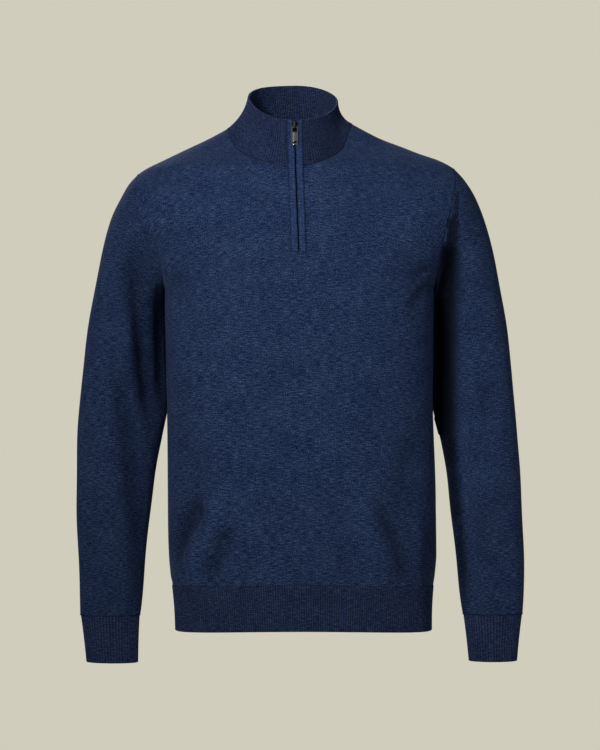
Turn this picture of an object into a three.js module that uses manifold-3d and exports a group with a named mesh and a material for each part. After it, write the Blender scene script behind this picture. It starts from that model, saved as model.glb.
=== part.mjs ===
// Quarter zip sweater of fine knit, in the shape that it takes when it is worn, with nobody in it.
// Millimetres. +Z is up, the front faces -Y, and the origin is the middle of the neck base.
// Left and right in the names are the wearer's own, so the left sleeve lies at +X.

import * as THREE from 'three';
import Module from 'manifold-3d';
import { mergeVertices } from 'three/addons/utils/BufferGeometryUtils.js';

const wasm = await Module();
wasm.setup();

// Cloth
const BODY_WALL = 1.5;
const BAND_WALL = 2.2;
const COLLAR_WALL = 2.6;
const HALF_GAP = 0.2;
const RIB_HEIGHT = 0.7;
const COLLAR_RIB = 3.6;
const CUFF_RIB = 4.2;
const HEM_RIB = 6.4;

// Mesh steps
const PANEL_COLUMNS = 8;
const ARMHOLE_STEPS = 10;
const SHOULDER_STEPS = 4;
const COLLAR_STEPS = 4;

// Lengths of the body, as heights
const HEM_BOTTOM = { front: -685, back: -691 };
const ZIP_BOTTOM = -174;
const SIDE_LEVELS = [-631, -617, -586, -545, -500, -452, -400, -348, -296, -256];
const FRONT_HEM_LIFT = 8;

// Armholes: heights of the shoulder tip and of the armpit, and how far the seam swings fore and aft
const ARMHOLE = {
  '-1': { tip: -64.5, pit: -225 },
  '1': { tip: -56.4, pit: -222 },
};
const ARMHOLE_SWING = { '-1': 72, '1': 66 };

// Neck opening in plan: half widths to each hand, and depths fore and aft
const NECK_OVAL = { right: 92.5, left: 78, front: 92, back: 60 };
const RIM_OVAL = { right: 64.5, left: 60, front: 68, back: 62 };
const WAIST_OVAL = { right: 69, left: 61, front: 77, back: 57 };
const RIM_HEIGHT = { middle: 35.4, slope: 0.4615, right: 7.6, left: 0.6 };
const WAIST_HEIGHT = { middle: 7.3, slope: 0.485, right: 6.7, left: 5.7 };

// Zip: half widths measured from its middle line
const SLIT_HALF = 3;
const SLIT_HALF_TOP = 4.2;
const PLACKET_LINE = 11.5;
const PLACKET_INNER = 1.2;
const PLACKET_INNER_TOP = 3.7;
const PLACKET_OUTER = 10.2;
const PLACKET_LIFT = 0.4;
const PLACKET_WALL = 1.5;
const TAPE_INNER = 2.5;
const TAPE_INNER_TOP = 3.6;
const TAPE_OUTER = 11;
const TAPE_TOP = -1.8;
const TAPE_WALL = 0.8;
const CHAIN_HALF = 2.1;
const CHAIN_TOP = -1.1;
const CHAIN_WALL = 2;

// Slider and pull tab, measured from the tab's pivot bar: s runs down the zip, n out of the cloth
const PIVOT_HEIGHT = -6.5;
const PIVOT_LIFT = 3.2;
const SLIDER = { width: 6.4, top: -9.4, bottom: 3.2, deepest: -6.9, face: -3.1 };
const BRIDGE = { width: 4.6, top: -7.2, bottom: 2.9, leg: 1.5, under: 1.4, over: 2.8 };
const PULL = { width: 9.5, length: 27, wall: 1.6, corner: 2.4, bar: 0.8 };
const PULL_WINDOW = { width: 6.3, from: 0.8, to: 8.3 };
const PULL_SLOT = { width: 6, from: 21, to: 24.4 };

function table(columns, rows) {
  return rows.map((row) => Object.fromEntries(columns.map((name, i) => [name, row[i]])));
}

// Middle line of the body in the front view
const CENTRE_LINE = table(['z', 'x'], [
  [-691, 12], [-400, 9], [-174, 6.5], [-57, 2.3], [10, 0.9], [70, 0.6],
]);

// Body profile in the side view: how far the front and the back lie from the middle, where the side
// line lies, and the exponent of the rounded ring
const PROFILE = table(['z', 'front', 'back', 'side', 'power'], [
  [-691, 100, 88, 0, 2.4],
  [-628, 105, 92, 0, 2.4],
  [-550, 107, 92, 0, 2.4],
  [-450, 112, 88, 0, 2.4],
  [-350, 115, 97, 0, 2.45],
  [-250, 118, 107, 0, 2.5],
  [-170, 116, 108, 2, 2.35],
  [-100, 103, 100, 5, 2.1],
  [-57, 90, 90, 7, 2],
  [-45, 71, 84, 7, 2],
  [-30, 54, 77, 7, 2],
  [-20, 49, 72, 7, 2],
  [-10, 45, 68, 6, 2],
  [-2, 42, 64, 6, 2],
  [14, 39, 58, 5, 2],
]);

// Side edges of the body below the armpits
const SIDES = table(['z', 'right', 'left'], [
  [-691, -163.2, 189.4],
  [-665, -164.2, 190.9],
  [-631, -167.4, 191.9],
  [-617, -170.4, 193.8],
  [-586, -172.4, 196.2],
  [-513, -173.5, 195.7],
  [-430, -174.3, 192.8],
  [-328, -176.6, 191.6],
  [-265, -178, 192.5],
  [-218, -177.6, 193.8],
]);

// Shoulder seams
const SHOULDERS = table(['z', 'right', 'left'], [
  [-68, -220, 239],
  [-58, -206.2, 223.4],
  [-44.2, -179.3, 198.6],
  [-30.4, -150.4, 160.5],
  [-16.6, -121.4, 124.3],
  [-2.8, -95.2, 95.2],
  [14, -66, 66],
]);

// Armhole seams in the front view
const RIGHT_ARMHOLE = table(['z', 'x'], [
  [-225, -177.6], [-198.7, -179.4], [-175.3, -183.5], [-158.7, -188.2], [-149, -196.2],
  [-138, -205.6], [-120, -213.2], [-99.4, -214.6], [-77.3, -215.3], [-64.5, -215.3],
]);
const LEFT_ARMHOLE = table(['z', 'x'], [
  [-222, 193.7], [-187.7, 196.7], [-169.7, 200], [-152.4, 203.7], [-134.8, 208.1],
  [-117.3, 212.5], [-101.3, 215.3], [-78.4, 220.5], [-56.4, 220.5],
]);

// Sleeve rings from the shoulder to the cuff: outer and inner end, half depth, and how far each end
// lies to the back. Where touch is 1 the inner end lies just clear of the body's side.
const SLEEVE_COLUMNS = ['outX', 'outZ', 'outY', 'inX', 'inZ', 'inY', 'deep', 'keep', 'touch'];
const RIGHT_SLEEVE = table(SLEEVE_COLUMNS, [
  [-228, -78, 5, -180, -231, 7, 70, 0.75, 1],
  [-240, -99, 4, -180, -237, 12, 68, 0.5, 1],
  [-250.5, -121, 3, -180, -243, 17, 66, 0.3, 1],
  [-259, -148, 1, -180, -251, 22, 64, 0.15, 1],
  [-267, -182, -1, -180, -262, 26, 62, 0.05, 1],
  [-275, -226, -3, -180, -278, 28, 60, 0, 1],
  [-284, -280, -5, -180, -310, 28, 56, 0, 1],
  [-290, -330, -7, -180, -345, 26, 51, 0, 1],
  [-294, -374, -9, -180, -380, 20, 46, 0, 1],
  [-297.5, -425, -11, -181.5, -425, 0, 41, 0, 0],
  [-298.6, -475, -14, -191, -475, -9, 38, 0, 0],
  [-298.4, -530, -18, -197.5, -530, -17, 34, 0, 0],
  [-296, -590, -22, -203.6, -590, -22, 29, 0, 0],
  [-294, -640, -24, -207.8, -640, -24, 25.5, 0, 0],
  [-292.8, -669.5, -25, -210.6, -669.5, -25, 21.5, 0, 0],
]);
const RIGHT_CUFF = table(SLEEVE_COLUMNS, [[-285.7, -737.6, -27, -214, -737.6, -27, 19.5, 0, 0]]);
const LEFT_SLEEVE = table(SLEEVE_COLUMNS, [
  [234, -70, 5, 196, -232, 5, 70, 0.75, 1],
  [247, -90, 4, 196, -234, 12, 68, 0.5, 1],
  [258, -114, 3, 196, -240, 17, 66, 0.3, 1],
  [267, -140, 1, 196, -248, 22, 64, 0.15, 1],
  [275.5, -174, -1, 196, -260, 26, 62, 0.05, 1],
  [284, -219, -3, 196, -276, 28, 60, 0, 1],
  [292.5, -272, -5, 196, -308, 28, 56, 0, 1],
  [298.6, -325, -7, 196, -345, 26, 51, 0, 1],
  [302.7, -375, -9, 196, -382, 20, 46, 0, 1],
  [307.5, -427, -11, 201.5, -427, 0, 41, 0, 0],
  [311.4, -475, -14, 210, -475, -9, 38, 0, 0],
  [313.6, -530, -18, 215.3, -530, -17, 34, 0, 0],
  [315.3, -590, -22, 222.3, -590, -22, 29, 0, 0],
  [315, -640, -24, 227.7, -640, -24, 25.5, 0, 0],
  [313.4, -668, -25, 231.3, -668, -25, 21.5, 0, 0],
]);
const LEFT_CUFF = table(SLEEVE_COLUMNS, [[307.3, -735.6, -27, 240, -735.6, -27, 19.5, 0, 0]]);
const SLEEVE_CLEARANCE = 2.2;

// Folds, each a soft stroke in the front view. face is -1 on the front and 1 on the back, and a
// stroke with a negative depth is a valley.
const FOLDS = table(['face', 'x0', 'z0', 'x1', 'z1', 'wide', 'deep'], [
  [-1, -130, -523, -158, -582, 15, -5],
  [-1, -110, -505, -113, -582, 15, 4],
  [-1, -88, -557, -122, -612, 14, -4],
  [-1, 117, -523, 152, -604, 15, -5],
  [-1, 96, -530, 128, -606, 15, 2.5],
  [-1, -212, -215, -201, -300, 17, -9],
  [-1, -198, -300, -197, -395, 17, -8],
  [-1, -236, -372, -232, -433, 15, -3],
  [-1, -213, -437, -214, -566, 15, -3.5],
  [-1, 214, -150, 212, -300, 18, -10],
  [-1, 213, -300, 214, -400, 18, -8],
  [-1, 236, -190, 238, -250, 18, 4],
  [-1, 263, -350, 262, -402, 16, -3],
  [1, -130, -500, -150, -600, 18, -5],
  [1, 120, -520, 152, -606, 18, -5],
  [1, -212, -215, -206, -380, 18, -6],
  [1, 224, -190, 220, -390, 18, -6],
  [1, -60, -560, -85, -615, 18, -3],
  [1, 70, -330, 30, -420, 24, -3],
]);

// Smooth curve through one column of a table, without overshoot between its rows
function curve(rows, column) {
  const at = rows.map((row) => row.z);
  const value = rows.map((row) => row[column]);
  const secant = at.slice(1).map((z, i) => (value[i + 1] - value[i]) / (z - at[i]));
  const slope = value.map((_, i) => {
    if (i === 0) return secant[0];
    if (i === value.length - 1) return secant[i - 1];
    const [before, after] = [secant[i - 1], secant[i]];
    return before * after <= 0 ? 0 : (2 * before * after) / (before + after);
  });
  return (z) => {
    const clamped = Math.min(Math.max(z, at[0]), at[at.length - 1]);
    let i = 0;
    while (i < at.length - 2 && clamped > at[i + 1]) i += 1;
    const step = at[i + 1] - at[i];
    const t = (clamped - at[i]) / step;
    const [t2, t3] = [t * t, t * t * t];
    return value[i] * (2 * t3 - 3 * t2 + 1) + slope[i] * step * (t3 - 2 * t2 + t)
      + value[i + 1] * (3 * t2 - 2 * t3) + slope[i + 1] * step * (t3 - t2);
  };
}

const centreX = curve(CENTRE_LINE, 'x');
const profile = {
  front: curve(PROFILE, 'front'),
  back: curve(PROFILE, 'back'),
  side: curve(PROFILE, 'side'),
  power: curve(PROFILE, 'power'),
};
const sideX = { '-1': curve(SIDES, 'right'), '1': curve(SIDES, 'left') };
const shoulderX = { '-1': curve(SHOULDERS, 'right'), '1': curve(SHOULDERS, 'left') };
const armholeX = { '-1': curve(RIGHT_ARMHOLE, 'x'), '1': curve(LEFT_ARMHOLE, 'x') };

const lerp = THREE.MathUtils.lerp;
const clamp01 = (value) => Math.min(Math.max(value, 0), 1);

// The zip's slit and what lies beside it open a little round the slider
function widenAtTop(half, halfTop, z) {
  return lerp(half, halfTop, THREE.MathUtils.smoothstep(z, -26, -12));
}

function depthOf(face, z) {
  const side = profile.side(z);
  return face < 0 ? -profile.front(z) - side : profile.back(z) - side;
}

// Angle on the ring at which the armhole seam lies, 0 at the side line
function armholeAngle(hand, face, z) {
  const { tip, pit } = ARMHOLE[hand];
  if (z >= tip || z <= pit) return 0;
  const along = (2 * (z - pit)) / (tip - pit) - 1;
  const swing = ARMHOLE_SWING[face] * Math.sqrt(1 - along * along);
  return Math.asin((swing / Math.abs(depthOf(face, z))) ** (profile.power(z) / 2));
}

// Half width of the rounded ring. In the armhole's range the ring is made to pass through the seam.
function halfWidth(hand, face, z) {
  const { tip, pit } = ARMHOLE[hand];
  if (z >= tip) return Math.abs(shoulderX[hand](z) - centreX(z));
  if (z <= pit) return Math.abs(sideX[hand](z) - centreX(z));
  const angle = armholeAngle(hand, face, z);
  return Math.abs(armholeX[hand](z) - centreX(z)) / Math.cos(angle) ** (2 / profile.power(z));
}

function bodyPoint(hand, face, z, angle) {
  const power = 2 / profile.power(z);
  return new THREE.Vector3(
    centreX(z) + hand * halfWidth(hand, face, z) * Math.max(Math.cos(angle), 0) ** power,
    profile.side(z) + depthOf(face, z) * Math.sin(angle) ** power,
    z,
  );
}

// Angle on the ring at which the surface lies a given way from the middle line
function angleAt(hand, face, z, offset) {
  return Math.acos((offset / halfWidth(hand, face, z)) ** (profile.power(z) / 2));
}

// Columns of a half panel run from its side edge to the middle. On the front the last two are the
// line under the placket's outer edge and the edge of the slit.
function columnAngle(hand, face, z, column, edgeAngle) {
  if (face > 0) return lerp(edgeAngle, Math.PI / 2, column / PANEL_COLUMNS);
  if (column > PANEL_COLUMNS) {
    return angleAt(hand, face, z, widenAtTop(SLIT_HALF, SLIT_HALF_TOP, z));
  }
  return lerp(edgeAngle, angleAt(hand, face, z, PLACKET_LINE), column / PANEL_COLUMNS);
}

// Height at which a column meets the oval of the neck
function neckHeight(hand, face, column) {
  const wide = hand < 0 ? NECK_OVAL.right : NECK_OVAL.left;
  const deep = face < 0 ? NECK_OVAL.front : NECK_OVAL.back;
  let [low, high] = [-66, 14];
  for (let step = 0; step < 40; step += 1) {
    const z = (low + high) / 2;
    const point = bodyPoint(hand, face, z, columnAngle(hand, face, z, column, 0));
    const outside = ((point.x - centreX(z)) / wide) ** 2 + (point.y / deep) ** 2 > 1;
    if (outside) low = z;
    else high = z;
  }
  return (low + high) / 2;
}

const PIT_ROW = SIDE_LEVELS.length;
const TIP_ROW = PIT_ROW + ARMHOLE_STEPS;
const NECK_ROW = TIP_ROW + SHOULDER_STEPS;
const ZIP_ROW = PIT_ROW + 4;

function edgeLevels(hand) {
  const { tip, pit } = ARMHOLE[hand];
  const neck = neckHeight(hand, -1, 0);
  const levels = [...SIDE_LEVELS];
  for (let step = 0; step <= ARMHOLE_STEPS; step += 1) {
    levels.push((tip + pit) / 2 - ((tip - pit) / 2) * Math.cos((step * Math.PI) / ARMHOLE_STEPS));
  }
  for (let step = 1; step <= SHOULDER_STEPS; step += 1) {
    levels.push(lerp(tip, neck, step / SHOULDER_STEPS));
  }
  return levels;
}
const LEVELS = { '-1': edgeLevels(-1), '1': edgeLevels(1) };

// Height of a row on the middle line, the same for both halves of a panel
function middleLevel(face, row) {
  if (row === ZIP_ROW) return ZIP_BOTTOM;
  const level = (LEVELS['-1'][row] + LEVELS['1'][row]) / 2;
  const rise = clamp01(1 - (level - SIDE_LEVELS[0]) / 110);
  return face < 0 ? level + FRONT_HEM_LIFT * rise : level;
}

function rowHeight(hand, face, row, column, share) {
  const levels = LEVELS[hand];
  if (row <= ZIP_ROW) return lerp(levels[row], middleLevel(face, row), share);
  const start = lerp(levels[ZIP_ROW], ZIP_BOTTOM, share);
  const edgePart = (levels[row] - levels[ZIP_ROW]) / (levels[NECK_ROW] - levels[ZIP_ROW]);
  const middlePart = (row - ZIP_ROW) / (NECK_ROW - ZIP_ROW);
  return lerp(start, neckHeight(hand, face, column), lerp(edgePart, middlePart, share));
}

const sidePoints = { '-1': [], '1': [] };

function halfPanel(hand, face) {
  const columns = face < 0 ? PANEL_COLUMNS + 1 : PANEL_COLUMNS;
  return LEVELS[hand].map((level, row) => {
    const line = [];
    for (let column = 0; column <= columns; column += 1) {
      const shared = column === 0 && (row <= PIT_ROW || row >= TIP_ROW);
      if (shared && sidePoints[hand][row]) {
        line.push(sidePoints[hand][row]);
        continue;
      }
      const share = Math.min(column / PANEL_COLUMNS, 1);
      const z = rowHeight(hand, face, row, column, share);
      const edge = armholeAngle(hand, face, level);
      const point = bodyPoint(hand, face, z, columnAngle(hand, face, z, column, edge));
      if (shared) sidePoints[hand][row] = point;
      line.push(point);
    }
    return line;
  });
}

// Quads of a grid whose rows go up and whose columns go round anticlockwise, seen from above
function gridQuads(rows, closed = false) {
  const quads = [];
  for (let i = 0; i + 1 < rows.length; i += 1) {
    const count = rows[i].length;
    for (let j = 0; j < (closed ? count : count - 1); j += 1) {
      const k = (j + 1) % count;
      quads.push([rows[i][j], rows[i][k], rows[i + 1][k], rows[i + 1][j]]);
    }
  }
  return quads;
}

const reversed = (rows) => rows.map((row) => [...row].reverse());

const frontRight = halfPanel(-1, -1);
const frontLeft = reversed(halfPanel(1, -1));
const backLeft = halfPanel(1, 1);
const backRight = reversed(halfPanel(-1, 1));
const backRows = backLeft.map((row, i) => [...row, ...backRight[i].slice(1)]);
const bridgeRows = frontRight.slice(0, ZIP_ROW + 1).map((row, i) => [row.at(-1), frontLeft[i][0]]);

// Sleeves. The first ring is the armhole itself, and its own shape fades out over the next rings.
function sleeveRing(row, hand) {
  const inner = new THREE.Vector3(row.inX, row.inY, row.inZ);
  if (row.touch) inner.x = bodySideX(hand, row.inY, row.inZ) + hand * SLEEVE_CLEARANCE;
  const outer = new THREE.Vector3(row.outX, row.outY, row.outZ);
  const middle = outer.clone().add(inner).multiplyScalar(0.5);
  const reach = outer.clone().sub(inner).multiplyScalar(0.5);
  const ring = [];
  for (let step = 0; step < 2 * ARMHOLE_STEPS; step += 1) {
    const angle = (step * Math.PI) / ARMHOLE_STEPS;
    const point = middle.clone().addScaledVector(reach, Math.cos(angle));
    point.y += hand * row.deep * Math.sin(angle);
    ring.push(point);
  }
  return ring;
}

// The body's side edge at a height and a depth before or behind its side line
function bodySideX(hand, y, z) {
  const face = y < profile.side(z) ? -1 : 1;
  const part = (y - profile.side(z)) / depthOf(face, z);
  const angle = Math.asin(clamp01(part) ** (profile.power(z) / 2));
  return bodyPoint(hand, face, Math.min(z, ARMHOLE[hand].pit), angle).x;
}

function keepClear(point, hand) {
  if (point.z > ARMHOLE[hand].pit) return;
  const nearest = bodySideX(hand, point.y, point.z) + hand * SLEEVE_CLEARANCE;
  if (hand * (point.x - nearest) < 0) point.x = nearest;
}

function sleeveRows(hand, rows, first, second) {
  const edgeAt = (panel, step) => panel[TIP_ROW - step];
  const armhole = [];
  for (let step = 0; step < ARMHOLE_STEPS; step += 1) armhole.push(edgeAt(first, step));
  for (let step = ARMHOLE_STEPS; step > 0; step -= 1) armhole.push(edgeAt(second, step));
  const outer = armhole[0];
  const inner = armhole[ARMHOLE_STEPS];
  const plain = sleeveRing({
    outX: outer.x, outY: outer.y, outZ: outer.z, inX: inner.x, inY: inner.y, inZ: inner.z, deep: 70,
  }, hand);
  const own = armhole.map((point, k) => point.clone().sub(plain[k]));
  const rings = rows.map((row) => {
    const ring = sleeveRing(row, hand);
    ring.forEach((point, k) => {
      point.addScaledVector(own[k], row.keep);
      keepClear(point, hand);
    });
    return ring;
  });
  return [armhole, ...rings].reverse();
}

const firstColumn = (rows) => rows.map((row) => row[0]);
const lastColumn = (rows) => rows.map((row) => row.at(-1));
const rightFrontEdge = firstColumn(frontRight);
const rightBackEdge = lastColumn(backRows);
const leftFrontEdge = lastColumn(frontLeft);
const leftBackEdge = firstColumn(backRows);
const sleeveRight = sleeveRows(-1, RIGHT_SLEEVE, rightFrontEdge, rightBackEdge);
const sleeveLeft = sleeveRows(1, LEFT_SLEEVE, leftBackEdge, leftFrontEdge);

// Bands below the panels and the sleeves
const cuffRight = [sleeveRing(RIGHT_CUFF[0], -1), sleeveRight[0]];
const cuffLeft = [sleeveRing(LEFT_CUFF[0], 1), sleeveLeft[0]];

function hemBottomPoint(top, face) {
  const low = face < 0 ? HEM_BOTTOM.front : HEM_BOTTOM.back;
  const hand = top.x < centreX(top.z) ? -1 : 1;
  const width = halfWidth(hand, face, top.z);
  const across = clamp01(Math.abs(top.x - centreX(top.z)) / width);
  const angle = Math.acos(across ** (profile.power(top.z) / 2));
  const point = bodyPoint(hand, face, low, angle);
  point.z = lerp(low, HEM_BOTTOM.back, across ** 2);
  return point;
}

const hemFrontTop = [...frontRight[0], ...frontLeft[0]];
const hemBackTop = backRows[0];
const hemFrontBottom = hemFrontTop.map((point) => hemBottomPoint(point, -1));
const hemBackBottom = hemBackTop.map((point) => hemBottomPoint(point, 1));
hemBackBottom[0] = hemFrontBottom.at(-1);
hemBackBottom[hemBackBottom.length - 1] = hemFrontBottom[0];
const hemFront = [hemFrontBottom, hemFrontTop];
const hemBack = [hemBackBottom, hemBackTop];

// Collar: each column is a curve from the neck seam, in at the waist of the funnel, to the rim
function ovalPoint(oval, height, angle, offset) {
  const cosine = Math.cos(angle);
  const wide = cosine < 0 ? oval.right : oval.left;
  const deep = Math.sin(angle) < 0 ? oval.front : oval.back;
  const x = offset === undefined ? wide * cosine : offset;
  const y = deep * Math.sign(Math.sin(angle)) * Math.sqrt(Math.max(1 - (x / wide) ** 2, 0));
  const extra = (cosine < 0 ? height.right : height.left) * (x / wide) ** 2;
  const z = height.middle + height.slope * y + extra;
  return new THREE.Vector3(centreX(z) + x, y, z);
}

function collarColumn(neck, offset) {
  const wide = neck.x < centreX(neck.z) ? NECK_OVAL.right : NECK_OVAL.left;
  const deep = neck.y < 0 ? NECK_OVAL.front : NECK_OVAL.back;
  const angle = Math.atan2(neck.y / deep, (neck.x - centreX(neck.z)) / wide);
  const waist = ovalPoint(WAIST_OVAL, WAIST_HEIGHT, angle, offset);
  const rim = ovalPoint(RIM_OVAL, RIM_HEIGHT, angle, offset && Math.sign(offset)
    * (Math.abs(offset) < PLACKET_LINE ? SLIT_HALF_TOP : PLACKET_LINE));
  const column = [neck];
  for (let step = 1; step <= COLLAR_STEPS; step += 1) {
    const t = step / COLLAR_STEPS;
    column.push(new THREE.Vector3()
      .addScaledVector(neck, (1 - t) ** 2)
      .addScaledVector(waist, 2 * t * (1 - t))
      .addScaledVector(rim, t * t));
  }
  return column;
}

const neckRing = [
  ...frontLeft[NECK_ROW],
  ...backRows[NECK_ROW].slice(1, -1),
  ...frontRight[NECK_ROW],
];
const collarColumns = neckRing.map((point, i) => {
  const fromEnd = Math.min(i, neckRing.length - 1 - i);
  const hand = i < neckRing.length / 2 ? 1 : -1;
  const offset = [hand * SLIT_HALF, hand * PLACKET_LINE][fromEnd];
  return collarColumn(point, offset);
});
const collarRows = collarColumns[0].map((_, row) => collarColumns.map((column) => column[row]));

// Skins: the quads of each cloth piece, on shared points
const skins = {
  front: [...gridQuads(frontRight), ...gridQuads(bridgeRows), ...gridQuads(frontLeft)],
  back: gridQuads(backRows),
  sleeve_right: gridQuads(sleeveRight, true),
  sleeve_left: gridQuads(sleeveLeft, true),
  cuff_right: gridQuads(cuffRight, true),
  cuff_left: gridQuads(cuffLeft, true),
  hem_front: gridQuads(hemFront),
  hem_back: gridQuads(hemBack),
  collar: gridQuads(collarRows),
};

// Pieces that run on smoothly into each other. Where two groups meet in a crease, as at the armpit,
// both count alike, so that their walls part on the plane between them.
const GROUPS = [
  ['front', 'back', 'hem_front', 'hem_back'],
  ['sleeve_right', 'cuff_right'],
  ['sleeve_left', 'cuff_left'],
  ['collar'],
];

function groupNormals(names) {
  const sums = new Map();
  for (const quad of names.flatMap((name) => skins[name])) {
    const [a, b, c, d] = quad;
    const face = c.clone().sub(a).cross(d.clone().sub(b)).normalize();
    for (const point of quad) {
      if (!sums.has(point)) sums.set(point, new THREE.Vector3());
      sums.get(point).add(face);
    }
  }
  sums.forEach((sum) => sum.normalize());
  return sums;
}

function pointNormals() {
  const sums = new Map();
  for (const group of GROUPS.map(groupNormals)) {
    group.forEach((normal, point) => {
      sums.set(point, (sums.get(point) ?? new THREE.Vector3()).add(normal));
    });
  }
  sums.forEach((sum) => sum.normalize());
  return sums;
}

function foldDepth(point, normal) {
  let depth = 0;
  for (const fold of FOLDS) {
    const [dx, dz] = [fold.x1 - fold.x0, fold.z1 - fold.z0];
    const along = ((point.x - fold.x0) * dx + (point.z - fold.z0) * dz) / (dx * dx + dz * dz);
    const t = clamp01(along);
    const away = Math.hypot(point.x - fold.x0 - t * dx, point.z - fold.z0 - t * dz) / fold.wide;
    depth += fold.deep * clamp01(1.5 * fold.face * normal.y) * Math.exp(-away * away);
  }
  return depth;
}

const smoothNormals = pointNormals();
smoothNormals.forEach((normal, point) => point.addScaledVector(normal, foldDepth(point, normal)));
const normals = pointNormals();

const triangles = (list) => {
  const positions = new Float32Array(list.flat().flatMap((point) => point.toArray()));
  const soup = new THREE.BufferGeometry();
  soup.setAttribute('position', new THREE.BufferAttribute(positions, 3));
  return mergeVertices(soup, 1e-4);
};

const quadFaces = ([a, b, c, d]) => [[a, b, c], [a, c, d]];

// Closed wall of even thickness on a set of quads, its edges drawn back from the seams
function wall(quads, thickness) {
  const edges = new Map();
  for (const quad of quads) {
    quad.forEach((point, i) => {
      const next = quad[(i + 1) % 4];
      if (!edges.has(point)) edges.set(point, new Map());
      edges.get(point).set(next, quad);
    });
  }
  const border = [];
  edges.forEach((targets, from) => targets.forEach((quad, to) => {
    if (!edges.get(to)?.has(from)) border.push([from, to, quad]);
  }));
  const inward = new Map();
  for (const [from, to, [a, b, c, d]] of border) {
    const face = c.clone().sub(a).cross(d.clone().sub(b)).normalize();
    const step = face.cross(to.clone().sub(from)).normalize();
    for (const point of [from, to]) inward.set(point, [...(inward.get(point) ?? []), step]);
  }
  const outer = new Map();
  const inner = new Map();
  for (const point of edges.keys()) {
    const moved = point.clone();
    const steps = inward.get(point);
    if (steps) {
      const sum = steps.reduce((total, step) => total.add(step), new THREE.Vector3());
      moved.addScaledVector(sum, HALF_GAP / Math.max(sum.lengthSq() / steps.length, 0.4));
    }
    outer.set(point, moved);
    inner.set(point, moved.clone().addScaledVector(normals.get(point), -thickness));
  }
  const faces = [];
  for (const quad of quads) {
    faces.push(...quadFaces(quad.map((point) => outer.get(point))));
    faces.push(...quadFaces([...quad].reverse().map((point) => inner.get(point))));
  }
  for (const [from, to] of border) {
    faces.push(...quadFaces([outer.get(to), outer.get(from), inner.get(from), inner.get(to)]));
  }
  return triangles(faces);
}

// Point of a smooth line through a row of points
function smoothPoint(row, index, t, closed) {
  const count = row.length;
  const pick = (i) => row[closed ? (i + count) % count : Math.min(Math.max(i, 0), count - 1)];
  const [a, b, c, d] = [pick(index - 1), pick(index), pick(index + 1), pick(index + 2)];
  const blend = (key) => {
    const [p, q, r, s] = [a[key], b[key], c[key], d[key]];
    return q + 0.5 * t * (r - p + t * (2 * p - 5 * q + 4 * r - s + t * (3 * (q - r) + s - p)));
  };
  return new THREE.Vector3(blend('x'), blend('y'), blend('z'));
}

// Closed wall with ribs raised on its outer face over a plain inside. Along the seam row the fine
// points lie on the straight edges of the panel next to it.
function ribbedWall(rows, { pitch, seamRow, closed = false, rounded = false, plainEnds = 0, thick }) {
  const count = rows[0].length;
  const spans = closed ? count : count - 1;
  const steps = [];
  for (let j = 0; j < spans; j += 1) {
    const plain = j < plainEnds || j >= spans - plainEnds;
    const length = rows[0][j].distanceTo(rows[0][(j + 1) % count]);
    steps.push(plain ? 1 : 2 * Math.max(1, Math.round(length / pitch)));
  }
  const drawBack = (line, i) => line.map((point, j) => {
    const beside = rows[i === 0 ? 1 : rows.length - 2][j];
    const atEnd = i === 0 || i === rows.length - 1;
    const moved = point.clone();
    if (atEnd) moved.addScaledVector(beside.clone().sub(point).normalize(), HALF_GAP);
    if (!closed && (j === 0 || j === count - 1)) {
      const next = rows[i][j === 0 ? 1 : count - 2];
      moved.addScaledVector(next.clone().sub(point).normalize(), HALF_GAP);
    }
    return moved;
  });
  const base = rows.map(drawBack);
  const outer = base.map((line, i) => {
    const fine = [];
    for (let j = 0; j < spans; j += 1) {
      const k = (j + 1) % count;
      for (let step = 0; step < steps[j]; step += 1) {
        const t = step / steps[j];
        const point = i === seamRow
          ? line[j].clone().lerp(line[k], t)
          : smoothPoint(line, j, t, closed);
        const out = normals.get(rows[i][j]).clone().lerp(normals.get(rows[i][k]), t).normalize();
        fine.push(point.addScaledVector(out, step % 2 ? RIB_HEIGHT : 0));
      }
    }
    if (!closed) fine.push(line.at(-1).clone());
    return fine;
  });
  const shift = (line, i, depth) => line.map((point, j) => point.clone()
    .addScaledVector(normals.get(rows[i][j]), -thick(j, count) * depth));
  const inner = base.map((line, i) => shift(line, i, 1));
  const faces = gridQuads(outer, closed).flatMap(quadFaces);
  gridQuads(inner, closed).forEach((quad) => faces.push(...quadFaces([...quad].reverse())));
  const last = rows.length - 1;
  let top = inner[last];
  if (rounded) {
    top = shift(base[last], last, 0.5);
    top.forEach((point, j) => point.add(base[last][j].clone().sub(base[last - 1][j])
      .setLength(thick(j, count) / 3)));
    gridQuads([top, inner[last]], closed).forEach((quad) => faces.push(...quadFaces(quad)));
  }
  const stitch = (fineLine, coarse, up) => {
    let from = 0;
    for (let j = 0; j < spans; j += 1) {
      const [a, b] = [coarse[j], coarse[(j + 1) % count]];
      const half = Math.ceil(steps[j] / 2);
      const at = (step) => fineLine[(from + step) % fineLine.length];
      for (let step = 0; step < steps[j]; step += 1) {
        const corner = step < half ? a : b;
        faces.push(up ? [at(step), at(step + 1), corner] : [at(step + 1), at(step), corner]);
      }
      faces.push(up ? [at(half), b, a] : [at(half), a, b]);
      from += steps[j];
    }
  };
  stitch(outer[last], top, true);
  stitch(outer[0], inner[0], false);
  if (!closed) {
    for (let i = 0; i < last; i += 1) {
      faces.push(...quadFaces([inner[i][0], outer[i][0], outer[i + 1][0], inner[i + 1][0]]));
      const ends = [outer[i].at(-1), inner[i].at(-1), inner[i + 1].at(-1), outer[i + 1].at(-1)];
      faces.push(...quadFaces(ends));
    }
    if (rounded) {
      faces.push([inner[last][0], outer[last][0], top[0]]);
      faces.push([outer[last].at(-1), inner[last].at(-1), top.at(-1)]);
    }
  }
  return triangles(faces);
}

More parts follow.
